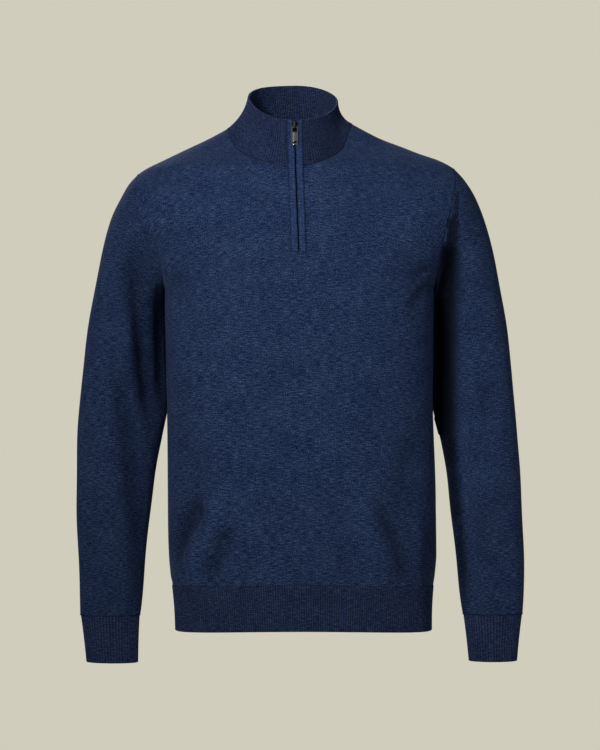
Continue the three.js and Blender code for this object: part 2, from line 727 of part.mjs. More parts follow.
// Stations up the zip, from below the slit's end to the rim: middle, outward normal, and the way
// along the cloth to each hand
const zipStations = [];
function addStation(rightRow, leftRow) {
  const [slitRight, lineRight] = [rightRow.at(-1), rightRow.at(-2)];
  const [slitLeft, lineLeft] = leftRow;
  const middle = slitRight.clone().add(slitLeft).multiplyScalar(0.5);
  zipStations.push({
    middle,
    out: normals.get(slitRight).clone().add(normals.get(slitLeft)).normalize(),
    '-1': lineRight.clone().sub(middle).normalize(),
    '1': lineLeft.clone().sub(middle).normalize(),
  });
}
for (let row = ZIP_ROW - 1; row <= NECK_ROW; row += 1) addStation(frontRight[row], frontLeft[row]);
for (let row = 1; row <= COLLAR_STEPS; row += 1) addStation(collarRows[row], collarRows[row]);

function stationAt(z) {
  let i = 0;
  while (i < zipStations.length - 2 && zipStations[i + 1].middle.z < z) i += 1;
  const [low, high] = [zipStations[i], zipStations[i + 1]];
  const t = (z - low.middle.z) / (high.middle.z - low.middle.z);
  const mix = (key) => low[key].clone().lerp(high[key], t);
  return {
    middle: mix('middle'), out: mix('out').normalize(), '-1': mix('-1').normalize(), '1': mix('1').normalize(),
  };
}

function stationsBetween(low, high) {
  const between = zipStations.filter(({ middle }) => middle.z > low + 2 && middle.z < high - 2);
  return [stationAt(low), ...between, stationAt(high)];
}

function zipPoint(station, offset, lift) {
  return station.middle.clone()
    .addScaledVector(station[offset < 0 ? -1 : 1], Math.abs(offset))
    .addScaledVector(station.out, lift);
}

// Strip of oblong section up the zip
function zipStrip(low, high, section) {
  const rings = stationsBetween(low, high).map((station) => section(station)
    .map(([offset, lift]) => zipPoint(station, offset, lift)));
  const faces = gridQuads(rings, true).flatMap(quadFaces);
  faces.push(...quadFaces([...rings[0]].reverse()), ...quadFaces(rings.at(-1)));
  return triangles(faces);
}

// Corners of a section, anticlockwise seen from above, between two offsets and two lifts
function oblong(from, to, low, high) {
  return [[from, high], [to, high], [to, low], [from, low]];
}

const RIM_Z = zipStations.at(-1).middle.z;

function placket(hand) {
  return zipStrip(ZIP_BOTTOM - 2.5, RIM_Z - 0.2, (station) => {
    const inner = hand * widenAtTop(PLACKET_INNER, PLACKET_INNER_TOP, station.middle.z);
    const ends = hand > 0 ? [inner, PLACKET_OUTER] : [-PLACKET_OUTER, inner];
    return oblong(...ends, PLACKET_LIFT, PLACKET_LIFT + PLACKET_WALL);
  });
}

function zipTape(hand) {
  return zipStrip(ZIP_BOTTOM - 8, RIM_Z - 3, (station) => {
    const inner = hand * widenAtTop(TAPE_INNER, TAPE_INNER_TOP, station.middle.z);
    const ends = hand > 0 ? [inner, TAPE_OUTER] : [-TAPE_OUTER, inner];
    return oblong(...ends, TAPE_TOP - TAPE_WALL, TAPE_TOP);
  });
}

// The pivot bar's place, and the tab's direction, parallel to the plackets below it
const pivotStation = stationAt(PIVOT_HEIGHT);
const pivot = zipPoint(pivotStation, 1e-6, PIVOT_LIFT);
const tabEnd = stationAt(PIVOT_HEIGHT - 0.93 * PULL.length);
const tabWay = zipPoint(tabEnd, 1e-6, PIVOT_LIFT + 0.3).sub(pivot);
tabWay.x = 0;
tabWay.normalize();
const sliderWay = stationAt(PIVOT_HEIGHT - 8).middle.sub(stationAt(PIVOT_HEIGHT + 6).middle);
sliderWay.x = 0;
sliderWay.normalize();

// Frame at the pivot whose Y runs up the zip and whose Z points out of the cloth
function pivotFrame(way) {
  const up = way.clone().negate();
  const across = new THREE.Vector3(1, 0, 0);
  const out = across.clone().cross(up).normalize();
  return new THREE.Matrix4().makeBasis(across, up, out).setPosition(pivot);
}

const chainBottom = ZIP_BOTTOM + 1;
const chainTop = PIVOT_HEIGHT + SLIDER.bottom * sliderWay.z - 0.5 - Math.abs(SLIDER.deepest * sliderWay.y);
const chain = zipStrip(chainBottom, chainTop, () => oblong(
  -CHAIN_HALF, CHAIN_HALF, CHAIN_TOP - CHAIN_WALL, CHAIN_TOP));

function toManifold(geometry) {
  const bare = geometry.clone();
  bare.deleteAttribute('normal');
  bare.deleteAttribute('uv');
  const merged = mergeVertices(bare, 1e-4);
  return new wasm.Manifold(new wasm.Mesh({
    numProp: 3,
    vertProperties: new Float32Array(merged.attributes.position.array),
    triVerts: new Uint32Array(merged.index.array),
  }));
}

function toGeometry(solid) {
  const mesh = solid.getMesh();
  const geometry = new THREE.BufferGeometry();
  geometry.setAttribute('position', new THREE.BufferAttribute(mesh.vertProperties, 3));
  geometry.setIndex(new THREE.BufferAttribute(mesh.triVerts, 1));
  return geometry;
}

function roundedShape(width, bottom, top, corner) {
  const half = width / 2;
  const shape = new THREE.Shape();
  shape.moveTo(-half + corner, bottom);
  shape.lineTo(half - corner, bottom);
  shape.quadraticCurveTo(half, bottom, half, bottom + corner);
  shape.lineTo(half, top - corner);
  shape.quadraticCurveTo(half, top, half - corner, top);
  shape.lineTo(-half + corner, top);
  shape.quadraticCurveTo(-half, top, -half, top - corner);
  shape.lineTo(-half, bottom + corner);
  shape.quadraticCurveTo(-half, bottom, -half + corner, bottom);
  return shape;
}

function extruded(shape, low, high, curveSegments = 3) {
  const depth = high - low;
  return new THREE.ExtrudeGeometry(shape, { depth, bevelEnabled: false, curveSegments })
    .translate(0, 0, low);
}

function sliderGeometry() {
  const plate = roundedShape(SLIDER.width, -SLIDER.bottom, -SLIDER.top, 1.8);
  const body = extruded(plate, SLIDER.deepest, SLIDER.face);
  const arch = new THREE.Shape();
  arch.moveTo(-BRIDGE.bottom, SLIDER.face - 0.4);
  arch.lineTo(-BRIDGE.bottom, BRIDGE.over - 0.8);
  arch.lineTo(-BRIDGE.bottom + 0.8, BRIDGE.over);
  arch.lineTo(-BRIDGE.top - 0.8, BRIDGE.over);
  arch.lineTo(-BRIDGE.top, BRIDGE.over - 0.8);
  arch.lineTo(-BRIDGE.top, SLIDER.face - 0.4);
  arch.lineTo(-BRIDGE.top - BRIDGE.leg, SLIDER.face - 0.4);
  arch.lineTo(-BRIDGE.top - BRIDGE.leg, BRIDGE.under);
  arch.lineTo(-BRIDGE.bottom + BRIDGE.leg, BRIDGE.under);
  arch.lineTo(-BRIDGE.bottom + BRIDGE.leg, SLIDER.face - 0.4);
  arch.closePath();
  const bridge = extruded(arch, -BRIDGE.width / 2, BRIDGE.width / 2);
  const turn = new THREE.Matrix4().makeBasis(
    new THREE.Vector3(0, 1, 0), new THREE.Vector3(0, 0, 1), new THREE.Vector3(1, 0, 0));
  bridge.applyMatrix4(turn);
  return toGeometry(toManifold(body).add(toManifold(bridge)));
}

function pullGeometry() {
  const plate = roundedShape(PULL.width, PULL.bar - PULL.length, PULL.bar, PULL.corner);
  plate.holes.push(roundedShape(PULL_WINDOW.width, -PULL_WINDOW.to, -PULL_WINDOW.from, 1));
  plate.holes.push(roundedShape(PULL_SLOT.width, -PULL_SLOT.to, -PULL_SLOT.from, 1));
  return extruded(plate, -PULL.wall / 2, PULL.wall / 2);
}

const material = (colour, roughness, metalness) => new THREE.MeshStandardMaterial({
  color: colour, roughness, metalness,
});
const knit = material(0x26344f, 0.95, 0);
const ribbedKnit = material(0x1d2539, 0.95, 0);
const placketKnit = material(0x2b3954, 0.95, 0);
const tapeCloth = material(0x1a2132, 0.9, 0);
const teeth = material(0x23262c, 0.4, 0.8);
const bronze = material(0x4a3a2c, 0.35, 1);
const steel = material(0xb8bcc2, 0.25, 1);

const sweater = new THREE.Group();

function add(name, geometry, look, matrix) {
  const mesh = new THREE.Mesh(geometry, look);
  mesh.name = name;
  if (matrix) matrix.decompose(mesh.position, mesh.quaternion, mesh.scale);
  sweater.add(mesh);
}

for (const name of ['front', 'back', 'sleeve_right', 'sleeve_left']) {
  add(name, wall(skins[name], BODY_WALL), knit);
}

const bandWall = () => BAND_WALL;
const collarWall = (j, count) => (Math.min(j, count - 1 - j) < 2 ? BODY_WALL : COLLAR_WALL);
const cuff = { pitch: CUFF_RIB, seamRow: 1, closed: true, thick: bandWall };
const hem = { pitch: HEM_RIB, seamRow: 1, thick: bandWall };
add('cuff_right', ribbedWall(cuffRight, cuff), ribbedKnit);
add('cuff_left', ribbedWall(cuffLeft, cuff), ribbedKnit);
add('hem_front', ribbedWall(hemFront, hem), ribbedKnit);
add('hem_back', ribbedWall(hemBack, hem), ribbedKnit);
add('collar', ribbedWall(collarRows, {
  pitch: COLLAR_RIB, seamRow: 0, rounded: true, plainEnds: 1, thick: collarWall,
}), ribbedKnit);

add('placket_right', placket(-1), placketKnit);
add('placket_left', placket(1), placketKnit);
add('zip_tape_right', zipTape(-1), tapeCloth);
add('zip_tape_left', zipTape(1), tapeCloth);
add('zip_chain', chain, teeth);
add('zip_slider', sliderGeometry(), bronze, pivotFrame(sliderWay));
add('zip_pull', pullGeometry(), steel, pivotFrame(tabWay));

export default sweater;
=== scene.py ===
import math

import bpy
import numpy as np
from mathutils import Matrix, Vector


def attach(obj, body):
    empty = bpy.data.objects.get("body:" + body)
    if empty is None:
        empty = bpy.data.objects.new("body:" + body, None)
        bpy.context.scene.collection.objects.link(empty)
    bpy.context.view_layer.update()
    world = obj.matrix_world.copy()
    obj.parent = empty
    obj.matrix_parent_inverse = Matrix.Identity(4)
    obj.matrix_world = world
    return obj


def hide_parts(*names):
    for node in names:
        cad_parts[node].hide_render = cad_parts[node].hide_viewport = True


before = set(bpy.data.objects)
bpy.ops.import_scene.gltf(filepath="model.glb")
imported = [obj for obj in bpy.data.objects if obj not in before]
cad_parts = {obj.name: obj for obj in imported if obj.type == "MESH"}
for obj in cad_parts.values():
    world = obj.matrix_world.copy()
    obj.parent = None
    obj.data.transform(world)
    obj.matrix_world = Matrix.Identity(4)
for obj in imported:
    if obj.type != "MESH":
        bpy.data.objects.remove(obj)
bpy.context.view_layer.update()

MM = 0.001

# Mesh steps
LOWER_STEPS = 9
ARMHOLE_STEPS = 60
SHOULDER_STEPS = 28
PANEL_STEPS = 64
SLIT_STEPS = 3
RING_STEPS = 9
RIB_SAMPLES = 6
BAND_ROWS = 18
COLLAR_ROWS = 26

# Cloth
BODY_WALL = 1.4
BAND_WALL = 2.0
COLLAR_WALL = 2.4
RIB_PITCH = 3.2
RIB_HEIGHT = 0.7
CUFF_DRAW = 0.035
CUFF_WAIST = 0.012
CUFF_RIBS = 56
COLLAR_PITCH = 4.1
COLLAR_PLAIN_ENDS = 0.016
COLLAR_WAVE = 0.7
HEM_WAIST = 0.8
EDGE_ROUND = 0.9
RIM_ROUND = 1.0
EDGE_SHARES = (0.2, 0.5, 0.8)
# Painted light on the ribbed pieces, as shares of light in their colour: painted shade in the rib grooves,
# painted highlight on the crests and painted shade on the collar's plain ends
GROOVE_SHADE = 0.54
RIB_CREST_HIGHLIGHT = 1.28
PLAIN_SHADE = 0.9
# Painted highlight along the collar's top rim
RIM_PAINTED_HIGHLIGHT = 2.0
# Painted shade inside the collar, and painted shade over the collar that deepens towards plus x, given at
# those x in mm
COLLAR_INSIDE_SHADE = 0.95
COLLAR_SHADE_AT = [-40, 0, 30, 60]
COLLAR_SHADE = [0.96, 0.9, 0.7, 0.64]

# Body, armholes and neck, as in the part. Faces are -1 front and 1 back, hands -1 right and 1 left.
HEM_BOTTOM = {-1: -685, 1: -691}
ZIP_BOTTOM = -174
SIDE_LEVELS = [-631, -617, -586, -545, -500, -452, -400, -348, -296, -256]
FRONT_HEM_LIFT = 8
HEM_LIFT_REACH = 110
NECK_SEARCH = (-66.0, 14.0)
ARMHOLE = {-1: (-64.5, -225), 1: (-56.4, -222)}
ARMHOLE_SWING = {-1: 72, 1: 66}
NECK_OVAL = {"right": 92.5, "left": 78, "front": 92, "back": 60}
WAIST_OVAL = {"right": 69, "left": 61, "front": 77, "back": 57}
RIM_OVAL = {"right": 64.5, "left": 60, "front": 68, "back": 62}
COLLAR_EASE = 14
WAIST_HEIGHT = {"middle": 7.3, "slope": 0.485, "right": 6.7, "left": 5.7}
RIM_HEIGHT = {"middle": 35.4, "slope": 0.4615, "right": 7.6, "left": 0.6}

# Zip, as half widths from its middle line and heights off the cloth
SLIT_HALF = 3
SLIT_HALF_TOP = 4.2
PLACKET_LINE = 11.5
PLACKET_INNER = 0.85
PLACKET_INNER_TOP = 3.7
PLACKET_OUTER = 10.2
PLACKET_LIFT = 0.35
PLACKET_WALL = 1.5
PLACKET_STEP = 1.2
PLACKET_POINTS = 36
PLACKET_FOOT = ZIP_BOTTOM - 2.5
TOOTH_PITCH = 1.3
TOOTH = {"half": 1.7, "tall": 0.75, "low": -2.9, "high": -0.7}
TOOTH_STEP = 0.4
CHAIN_TOP = -16

# Stitches: pitch along the seam, length and radius
LINKING = (2.4, 2.3, 0.45)
ARMHOLE_STITCH = (2.6, 2.4, 0.4)
NECK_STITCH = (2.2, 2.2, 0.5)
SHOULDER_STITCH = (2.6, 2.3, 0.4)
SIDE_STITCH = (2.6, 2.3, 0.38)
PLACKET_STITCH = (2.8, 2.1, 0.26)
PLACKET_EDGE = (2.4, 2.3, 0.5)
FOOT_STITCH = (2.4, 2.0, 0.28)

# Camera and light
CAMERA = {"x": 8.3, "z": -340.9, "away": 3600, "lens": 125.2, "sensor": 36}
BACKDROP = (0.631, 0.610, 0.503)
ROOM_LIGHT = (0.09, 0.093, 0.098)
FLOOR_HEIGHT = -1450
FLOOR_RADIUS = 2800
FLOOR_CORNERS = 96


def table(columns, rows):
    """Rows of numbers as dicts with named columns."""
    return [dict(zip(columns, row)) for row in rows]


CENTRE_LINE = table(["z", "x"], [
    (-691, 12), (-400, 9), (-174, 6.5), (-57, 2.3), (10, 0.9), (70, 0.6),
])
PROFILE = table(["z", "front", "back", "side", "power"], [
    (-691, 100, 88, 0, 2.4),
    (-628, 105, 92, 0, 2.4),
    (-550, 107, 92, 0, 2.4),
    (-450, 112, 88, 0, 2.4),
    (-350, 115, 97, 0, 2.45),
    (-250, 118, 107, 0, 2.5),
    (-170, 116, 108, 2, 2.35),
    (-100, 103, 100, 5, 2.1),
    (-80, 98.2, 96, 6.3, 2),
    (-66, 93.2, 92.4, 7, 2),
    (-57, 89, 89.5, 7, 2),
    (-49, 79.5, 85.8, 7, 2),
    (-41, 67.5, 82, 7, 2),
    (-30, 54.6, 77, 7, 2),
    (-20, 49, 72, 7, 2),
    (-10, 45, 68, 6, 2),
    (-2, 42, 64, 6, 2),
    (14, 39, 58, 5, 2),
])
SIDES = table(["z", "right", "left"], [
    (-691, -163.2, 189.4),
    (-665, -164.2, 190.9),
    (-631, -167.4, 191.9),
    (-617, -170.4, 193.8),
    (-586, -172.4, 196.2),
    (-513, -173.5, 195.7),
    (-430, -174.3, 192.8),
    (-328, -176.6, 191.6),
    (-265, -178, 192.5),
    (-218, -177.6, 193.8),
])
SHOULDERS = table(["z", "right", "left"], [
    (-68, -220, 239),
    (-58, -206.2, 223.4),
    (-44.2, -179.3, 198.6),
    (-30.4, -150.4, 160.5),
    (-16.6, -121.4, 124.3),
    (-2.8, -95.2, 95.2),
    (14, -66, 66),
])
RIGHT_ARMHOLE = table(["z", "x"], [
    (-225, -177.6), (-198.7, -179.4), (-175.3, -183.5), (-158.7, -188.2), (-149, -196.2),
    (-138, -205.6), (-120, -213.2), (-99.4, -214.6), (-77.3, -215.3), (-64.5, -215.3),
])
LEFT_ARMHOLE = table(["z", "x"], [
    (-222, 193.7), (-187.7, 196.7), (-169.7, 200), (-152.4, 203.7), (-134.8, 208.1),
    (-117.3, 212.5), (-101.3, 215.3), (-78.4, 220.5), (-56.4, 220.5),
])
SLEEVE_COLUMNS = ["out_x", "out_z", "out_y", "in_x", "in_z", "in_y", "deep", "keep", "touch"]
RIGHT_SLEEVE = table(SLEEVE_COLUMNS, [
    (-228, -78, 5, -180, -231, 7, 70, 0.75, 1),
    (-240, -99, 4, -180, -237, 12, 68, 0.5, 1),
    (-250.5, -121, 3, -180, -243, 17, 66, 0.3, 1),
    (-259, -148, 1, -180, -251, 22, 64, 0.15, 1),
    (-267, -182, -1, -180, -262, 26, 62, 0.05, 1),
    (-275, -226, -3, -180, -278, 28, 60, 0, 1),
    (-284, -280, -5, -180, -310, 28, 56, 0, 1),
    (-290, -330, -7, -180, -345, 26, 51, 0, 1),
    (-294, -374, -9, -180, -380, 20, 46, 0, 1),
    (-297.5, -425, -11, -181.5, -425, 0, 41, 0, 0),
    (-298.6, -475, -14, -191, -475, -9, 38, 0, 0),
    (-298.4, -530, -18, -197.5, -530, -17, 34, 0, 0),
    (-296, -590, -22, -203.6, -590, -22, 29, 0, 0),
    (-294, -640, -24, -207.8, -640, -24, 25.5, 0, 0),
    (-292.8, -669.5, -25, -210.6, -669.5, -25, 21.5, 0, 0),
])
RIGHT_CUFF = table(SLEEVE_COLUMNS, [(-283.6, -733, -27, -214, -733.4, -27, 19.5, 0, 0)])
LEFT_SLEEVE = table(SLEEVE_COLUMNS, [
    (234, -70, 5, 196, -232, 5, 70, 0.75, 1),
    (247, -90, 4, 196, -234, 12, 68, 0.5, 1),
    (258, -114, 3, 196, -240, 17, 66, 0.3, 1),
    (267, -140, 1, 196, -248, 22, 64, 0.15, 1),
    (275.5, -174, -1, 196, -260, 26, 62, 0.05, 1),
    (284, -219, -3, 196, -276, 28, 60, 0, 1),
    (292.5, -272, -5, 196, -308, 28, 56, 0, 1),
    (298.6, -325, -7, 196, -345, 26, 51, 0, 1),
    (302.7, -375, -9, 196, -382, 20, 46, 0, 1),
    (307.5, -427, -11, 201.5, -427, 0, 41, 0, 0),
    (311.4, -475, -14, 210, -475, -9, 38, 0, 0),
    (313.6, -530, -18, 215.3, -530, -17, 34, 0, 0),
    (315.3, -590, -22, 222.3, -590, -22, 29, 0, 0),
    (315, -640, -24, 227.7, -640, -24, 25.5, 0, 0),
    (313.4, -668, -25, 231.3, -668, -25, 21.5, 0, 0),
])
LEFT_CUFF = table(SLEEVE_COLUMNS, [(305, -731.4, -27, 240, -731.4, -27, 19.5, 0, 0)])
SLEEVE_CLEARANCE = 0.4

# Folds as soft strokes in the front view: face -1 lies on the front and 1 on the back.
# deep is the height of the fold, and shade the share of light painted out of its colour at its middle:
# painted shade in the troughs, and where shade is negative a painted highlight on the ridges.
FOLDS = table(["face", "x0", "z0", "x1", "z1", "wide", "deep", "shade"], [
    (-1, -126, -512, -154, -556, 14, -10, 0.46),
    (-1, -152, -546, -168, -600, 12, -10, 0.56),
    (-1, -104, -500, -114, -570, 12, 7, -0.22),
    (-1, -138, -584, -126, -626, 13, 6, -0.22),
    (-1, -84, -548, -104, -590, 13, -7, 0.32),
    (-1, -102, -582, -124, -626, 12, -7, 0.36),
    (-1, -66, -560, -88, -620, 12, 3, -0.06),
    (-1, 116, -515, 140, -566, 10, -7, 0.34),
    (-1, 138, -560, 158, -622, 11, -8, 0.42),
    (-1, 92, -525, 118, -606, 12, 4, -0.1),
    (-1, 186, -540, 180, -622, 12, -3, 0.4),
    (-1, 168, -540, 172, -600, 9, 3, -0.06),
    (-1, -221, -178, -204, -305, 15, -10, 0.3),
    (-1, -206, -290, -193, -402, 14, -12, 0.34),
    (-1, -183, -225, -178, -385, 7, -9, 0.8),
    (-1, -228, -230, -224, -330, 14, 4, -0.08),
    (-1, -236, -352, -224, -440, 13, -6, 0.36),
    (-1, -224, -430, -213, -560, 15, -6, 0.46),
    (-1, -214, -540, -213, -660, 13, -3, 0.3),
    (-1, -262, -300, -258, -380, 18, 3, -0.05),
    (-1, 226, -540, 231, -650, 9, -3, 0.36),
    (-1, 236, -180, 232, -300, 14, 6, -0.06),
    (-1, 228, -170, 226, -250, 8, -2.5, 0.2),
    (-1, 264, -345, 262, -405, 11, -5, 0.26),
    (-1, 254, -520, 262, -600, 14, -3, 0.14),
    (1, -130, -500, -154, -604, 13, -8, 0.4),
    (1, -104, -510, -112, -600, 13, 4, -0.08),
    (1, 120, -515, 150, -612, 13, -8, 0.4),
    (1, 92, -530, 118, -606, 13, 3.5, -0.08),
    (1, -206, -205, -200, -300, 13, -11, 0.5),
    (1, -200, -280, -194, -400, 13, -12, 0.6),
    (1, -240, -300, -236, -400, 14, -5, 0.24),
    (1, 214, -170, 208, -290, 13, -12, 0.55),
    (1, 208, -270, 210, -410, 13, -13, 0.7),
    (1, 246, -290, 250, -390, 14, -5, 0.24),
    (1, -60, -560, -88, -618, 13, -4, 0.2),
    (1, 66, -560, 92, -618, 12, -3.5, 0.18),
    (1, 62, -320, 20, -420, 26, -4, 0.1),
    (1, -36, -260, 6, -340, 26, -3, 0.08),
    (-1, -58, -585, -72, -618, 9, -2.4, 0.1),
    (-1, 58, -575, 82, -618, 10, -3, 0.14),
    (-1, 10, -588, 8, -620, 11, -1.5, 0.05),
    (-1, -150, -420, -118, -500, 18, -3, 0.12),
    (-1, -158, -330, -152, -450, 16, -2, 0.1),
    (-1, 168, -420, 140, -505, 18, -3.5, 0.14),
    (-1, -172, -226, -134, -262, 10, -4, 0.16),
    (-1, -168, -205, -146, -222, 8, -2.5, 0.1),
    (-1, 190, -214, 154, -256, 10, -4, 0.16),
    (-1, 184, -196, 160, -214, 8, -2.5, 0.1),
    (-1, 7, -180, 7, -206, 5, -1.3, 0.12),
    (-1, -262, -516, -236, -560, 11, -3, 0.14),
    (-1, -276, -560, -254, -596, 11, -2.5, 0.1),
    (-1, 288, -500, 262, -542, 11, -3, 0.12),
    (-1, 300, -556, 276, -592, 11, -2.5, 0.1),
    (-1, -240, -636, -264, -664, 8, -2, 0.1),
    (-1, 262, -636, 284, -662, 8, -2, 0.1),
    (1, -150, -232, -104, -266, 12, -4, 0.16),
    (1, 168, -230, 122, -266, 12, -4, 0.16),
])
# The deep valley between the wearer's left sleeve and the body, pressed straight back into the
# sleeve alone, with painted shade in its colour. shade is the share of light painted out at its middle.
VALLEY = table(["x0", "z0", "x1", "z1", "wide", "deep", "shade"], [
    (223, -96, 217, -150, 4, 2, 0.5),
    (218, -136, 213, -200, 8, 8, 0.72),
    (212, -176, 209, -262, 13, 17, 0.9),
    (209, -240, 208, -335, 15, 22, 0.93),
    (208, -315, 208, -415, 15, 15, 0.93),
    (208, -395, 212, -460, 13, 2, 0.9),
    (211, -440, 220, -530, 11, 0, 0.78),
    (219, -505, 227, -610, 9, 0, 0.56),
    (226, -580, 231, -690, 7, 0, 0.34),
])
VALLEY_HAND = 1
# Painted shade over each whole sleeve, as a share of light in its colour, for the right (-1) and the left
# (1) sleeve
SLEEVE_SHADE = {-1: 0.84, 1: 0.92}


class Curve:
    """Smooth curve through one column of a table, without overshoot between its rows."""

    def __init__(self, rows, column):
        self.at = np.array([row["z"] for row in rows], float)
        self.value = np.array([row[column] for row in rows], float)
        secant = np.diff(self.value) / np.diff(self.at)
        before, after = secant[:-1], secant[1:]
        total = np.where(before * after > 0, before + after, 1)
        inner = np.where(before * after > 0, 2 * before * after / total, 0)
        self.slope = np.concatenate([secant[:1], inner, secant[-1:]])

    def __call__(self, z):
        z = np.clip(z, self.at[0], self.at[-1])
        i = np.clip(np.searchsorted(self.at, z, side="right") - 1, 0, len(self.at) - 2)
        step = self.at[i + 1] - self.at[i]
        t = (z - self.at[i]) / step
        t2, t3 = t * t, t * t * t
        return (self.value[i] * (2 * t3 - 3 * t2 + 1) + self.slope[i] * step * (t3 - 2 * t2 + t)
                + self.value[i + 1] * (3 * t2 - 2 * t3) + self.slope[i + 1] * step * (t3 - t2))


centre_x = Curve(CENTRE_LINE, "x")
profile = {name: Curve(PROFILE, name) for name in ("front", "back", "side", "power")}
side_x = {-1: Curve(SIDES, "right"), 1: Curve(SIDES, "left")}
shoulder_x = {-1: Curve(SHOULDERS, "right"), 1: Curve(SHOULDERS, "left")}
armhole_x = {-1: Curve(RIGHT_ARMHOLE, "x"), 1: Curve(LEFT_ARMHOLE, "x")}


def lerp(a, b, t):
    return a + (b - a) * t


def smoothstep(value, low, high):
    t = np.clip((value - low) / (high - low), 0, 1)
    return t * t * (3 - 2 * t)


def widen_at_top(half, half_top, z):
    return lerp(half, half_top, smoothstep(z, -26, -12))


def depth_of(face, z):
    side = profile["side"](z)
    return -profile["front"](z) - side if face < 0 else profile["back"](z) - side


def armhole_angle(hand, face, z):
    """Angle on the ring at which the armhole seam lies, 0 at the side line."""
    tip, pit = ARMHOLE[hand]
    along = np.clip(2 * (z - pit) / (tip - pit) - 1, -1, 1)
    swing = ARMHOLE_SWING[face] * np.sqrt(1 - along * along)
    return np.arcsin((swing / np.abs(depth_of(face, z))) ** (profile["power"](z) / 2))


def half_width(hand, face, z):
    """Half width of the rounded ring, which passes through the armhole seam in its range."""
    tip, pit = ARMHOLE[hand]
    edge = np.where(z >= tip, shoulder_x[hand](z), np.where(z <= pit, side_x[hand](z), armhole_x[hand](z)))
    stretch = np.cos(armhole_angle(hand, face, z)) ** (2 / profile["power"](z))
    return np.abs(edge - centre_x(z)) / stretch


def body_point(hand, face, z, angle):
    power = 2 / profile["power"](z)
    x = centre_x(z) + hand * half_width(hand, face, z) * np.maximum(np.cos(angle), 0) ** power
    y = profile["side"](z) + depth_of(face, z) * np.maximum(np.sin(angle), 0) ** power
    return np.stack(np.broadcast_arrays(x, y, z), axis=-1)


def angle_at(hand, face, z, offset):
    return np.arccos(np.clip(offset / half_width(hand, face, z), 0, 1) ** (profile["power"](z) / 2))


def column_angle(hand, face, z, share, edge_angle):
    """share runs from 0 at the side edge to 1 at the middle, and on the front on to 2 at the slit."""
    if face > 0:
        return lerp(edge_angle, math.pi / 2, share)
    offset = lerp(PLACKET_LINE, widen_at_top(SLIT_HALF, SLIT_HALF_TOP, z), np.maximum(share - 1, 0))
    beyond = angle_at(hand, face, z, offset)
    return np.where(share > 1, beyond, lerp(edge_angle, beyond, np.minimum(share, 1)))


def neck_height(hand, face, share):
    """Height at which a column meets the oval of the neck."""
    wide = NECK_OVAL["right" if hand < 0 else "left"]
    deep = NECK_OVAL["front" if face < 0 else "back"]
    low, high = (np.full(share.shape, z) for z in NECK_SEARCH)
    for _ in range(40):
        z = (low + high) / 2
        point = body_point(hand, face, z, column_angle(hand, face, z, share, 0))
        outside = ((point[..., 0] - centre_x(z)) / wide) ** 2 + (point[..., 1] / deep) ** 2 > 1
        low = np.where(outside, z, low)
        high = np.where(outside, high, z)
    return (low + high) / 2


PIT_ROW = len(SIDE_LEVELS) * LOWER_STEPS
TIP_ROW = PIT_ROW + ARMHOLE_STEPS
NECK_ROW = TIP_ROW + SHOULDER_STEPS
ZIP_ROW = PIT_ROW + round(0.4 * ARMHOLE_STEPS)


def edge_levels(hand):
    tip, pit = ARMHOLE[hand]
    neck = float(neck_height(hand, -1, np.array([0.0]))[0])
    marks = np.array(SIDE_LEVELS + [pit], float)
    lower = np.interp(np.arange(PIT_ROW) / LOWER_STEPS, np.arange(len(marks)), marks)
    turn = np.arange(ARMHOLE_STEPS + 1) * math.pi / ARMHOLE_STEPS
    armhole = (tip + pit) / 2 - (tip - pit) / 2 * np.cos(turn)
    shoulder = lerp(tip, neck, np.arange(1, SHOULDER_STEPS + 1) / SHOULDER_STEPS)
    return np.concatenate([lower, armhole, shoulder])


LEVELS = {hand: edge_levels(hand) for hand in (-1, 1)}


def middle_levels(face):
    level = (LEVELS[-1] + LEVELS[1]) / 2
    rows = np.arange(len(level))
    slide = np.clip((rows - PIT_ROW) / (ZIP_ROW - PIT_ROW), 0, 1)
    level = level + (ZIP_BOTTOM - level[ZIP_ROW]) * slide * slide
    lift = np.clip(1 - (level - SIDE_LEVELS[0]) / HEM_LIFT_REACH, 0, 1)
    return level + FRONT_HEM_LIFT * lift if face < 0 else level


def half_panel(hand, face):
    """Grid of a half panel: rows go up, columns go from the side edge to the middle."""
    share = np.arange(PANEL_STEPS + 1) / PANEL_STEPS
    if face < 0:
        share = np.concatenate([share, 1 + np.arange(1, SLIT_STEPS + 1) / SLIT_STEPS])
    levels = LEVELS[hand][:, None]
    inward = np.minimum(share, 1)[None, :]
    rows = np.arange(len(levels))[:, None]
    middle = middle_levels(face)[:, None]
    z = lerp(levels, middle, inward)
    start = lerp(levels[ZIP_ROW], middle[ZIP_ROW], inward)
    edge_part = (levels - levels[ZIP_ROW]) / (levels[NECK_ROW] - levels[ZIP_ROW])
    middle_part = (rows - ZIP_ROW) / (NECK_ROW - ZIP_ROW)
    neck = neck_height(hand, face, share)
    neck[0] = LEVELS[hand][NECK_ROW]
    above = lerp(start, neck[None, :], lerp(edge_part, middle_part, inward))
    z = np.where(rows <= ZIP_ROW, z, above)
    in_armhole = (rows > PIT_ROW) & (rows < TIP_ROW)
    edge = np.where(in_armhole, armhole_angle(hand, face, levels), 0)
    return body_point(hand, face, z, column_angle(hand, face, z, share[None, :] + 0 * z, edge))


def ring(row, hand, angles):
    inner = np.array([row["in_x"], row["in_y"], row["in_z"]], float)
    outer = np.array([row["out_x"], row["out_y"], row["out_z"]], float)
    if row["touch"]:
        inner[0] = body_side_x(hand, inner[1], inner[2]) + hand * SLEEVE_CLEARANCE
    points = (outer + inner) / 2 + (outer - inner) / 2 * np.cos(angles)[:, None]
    points[:, 1] += hand * row["deep"] * np.sin(angles)
    return points


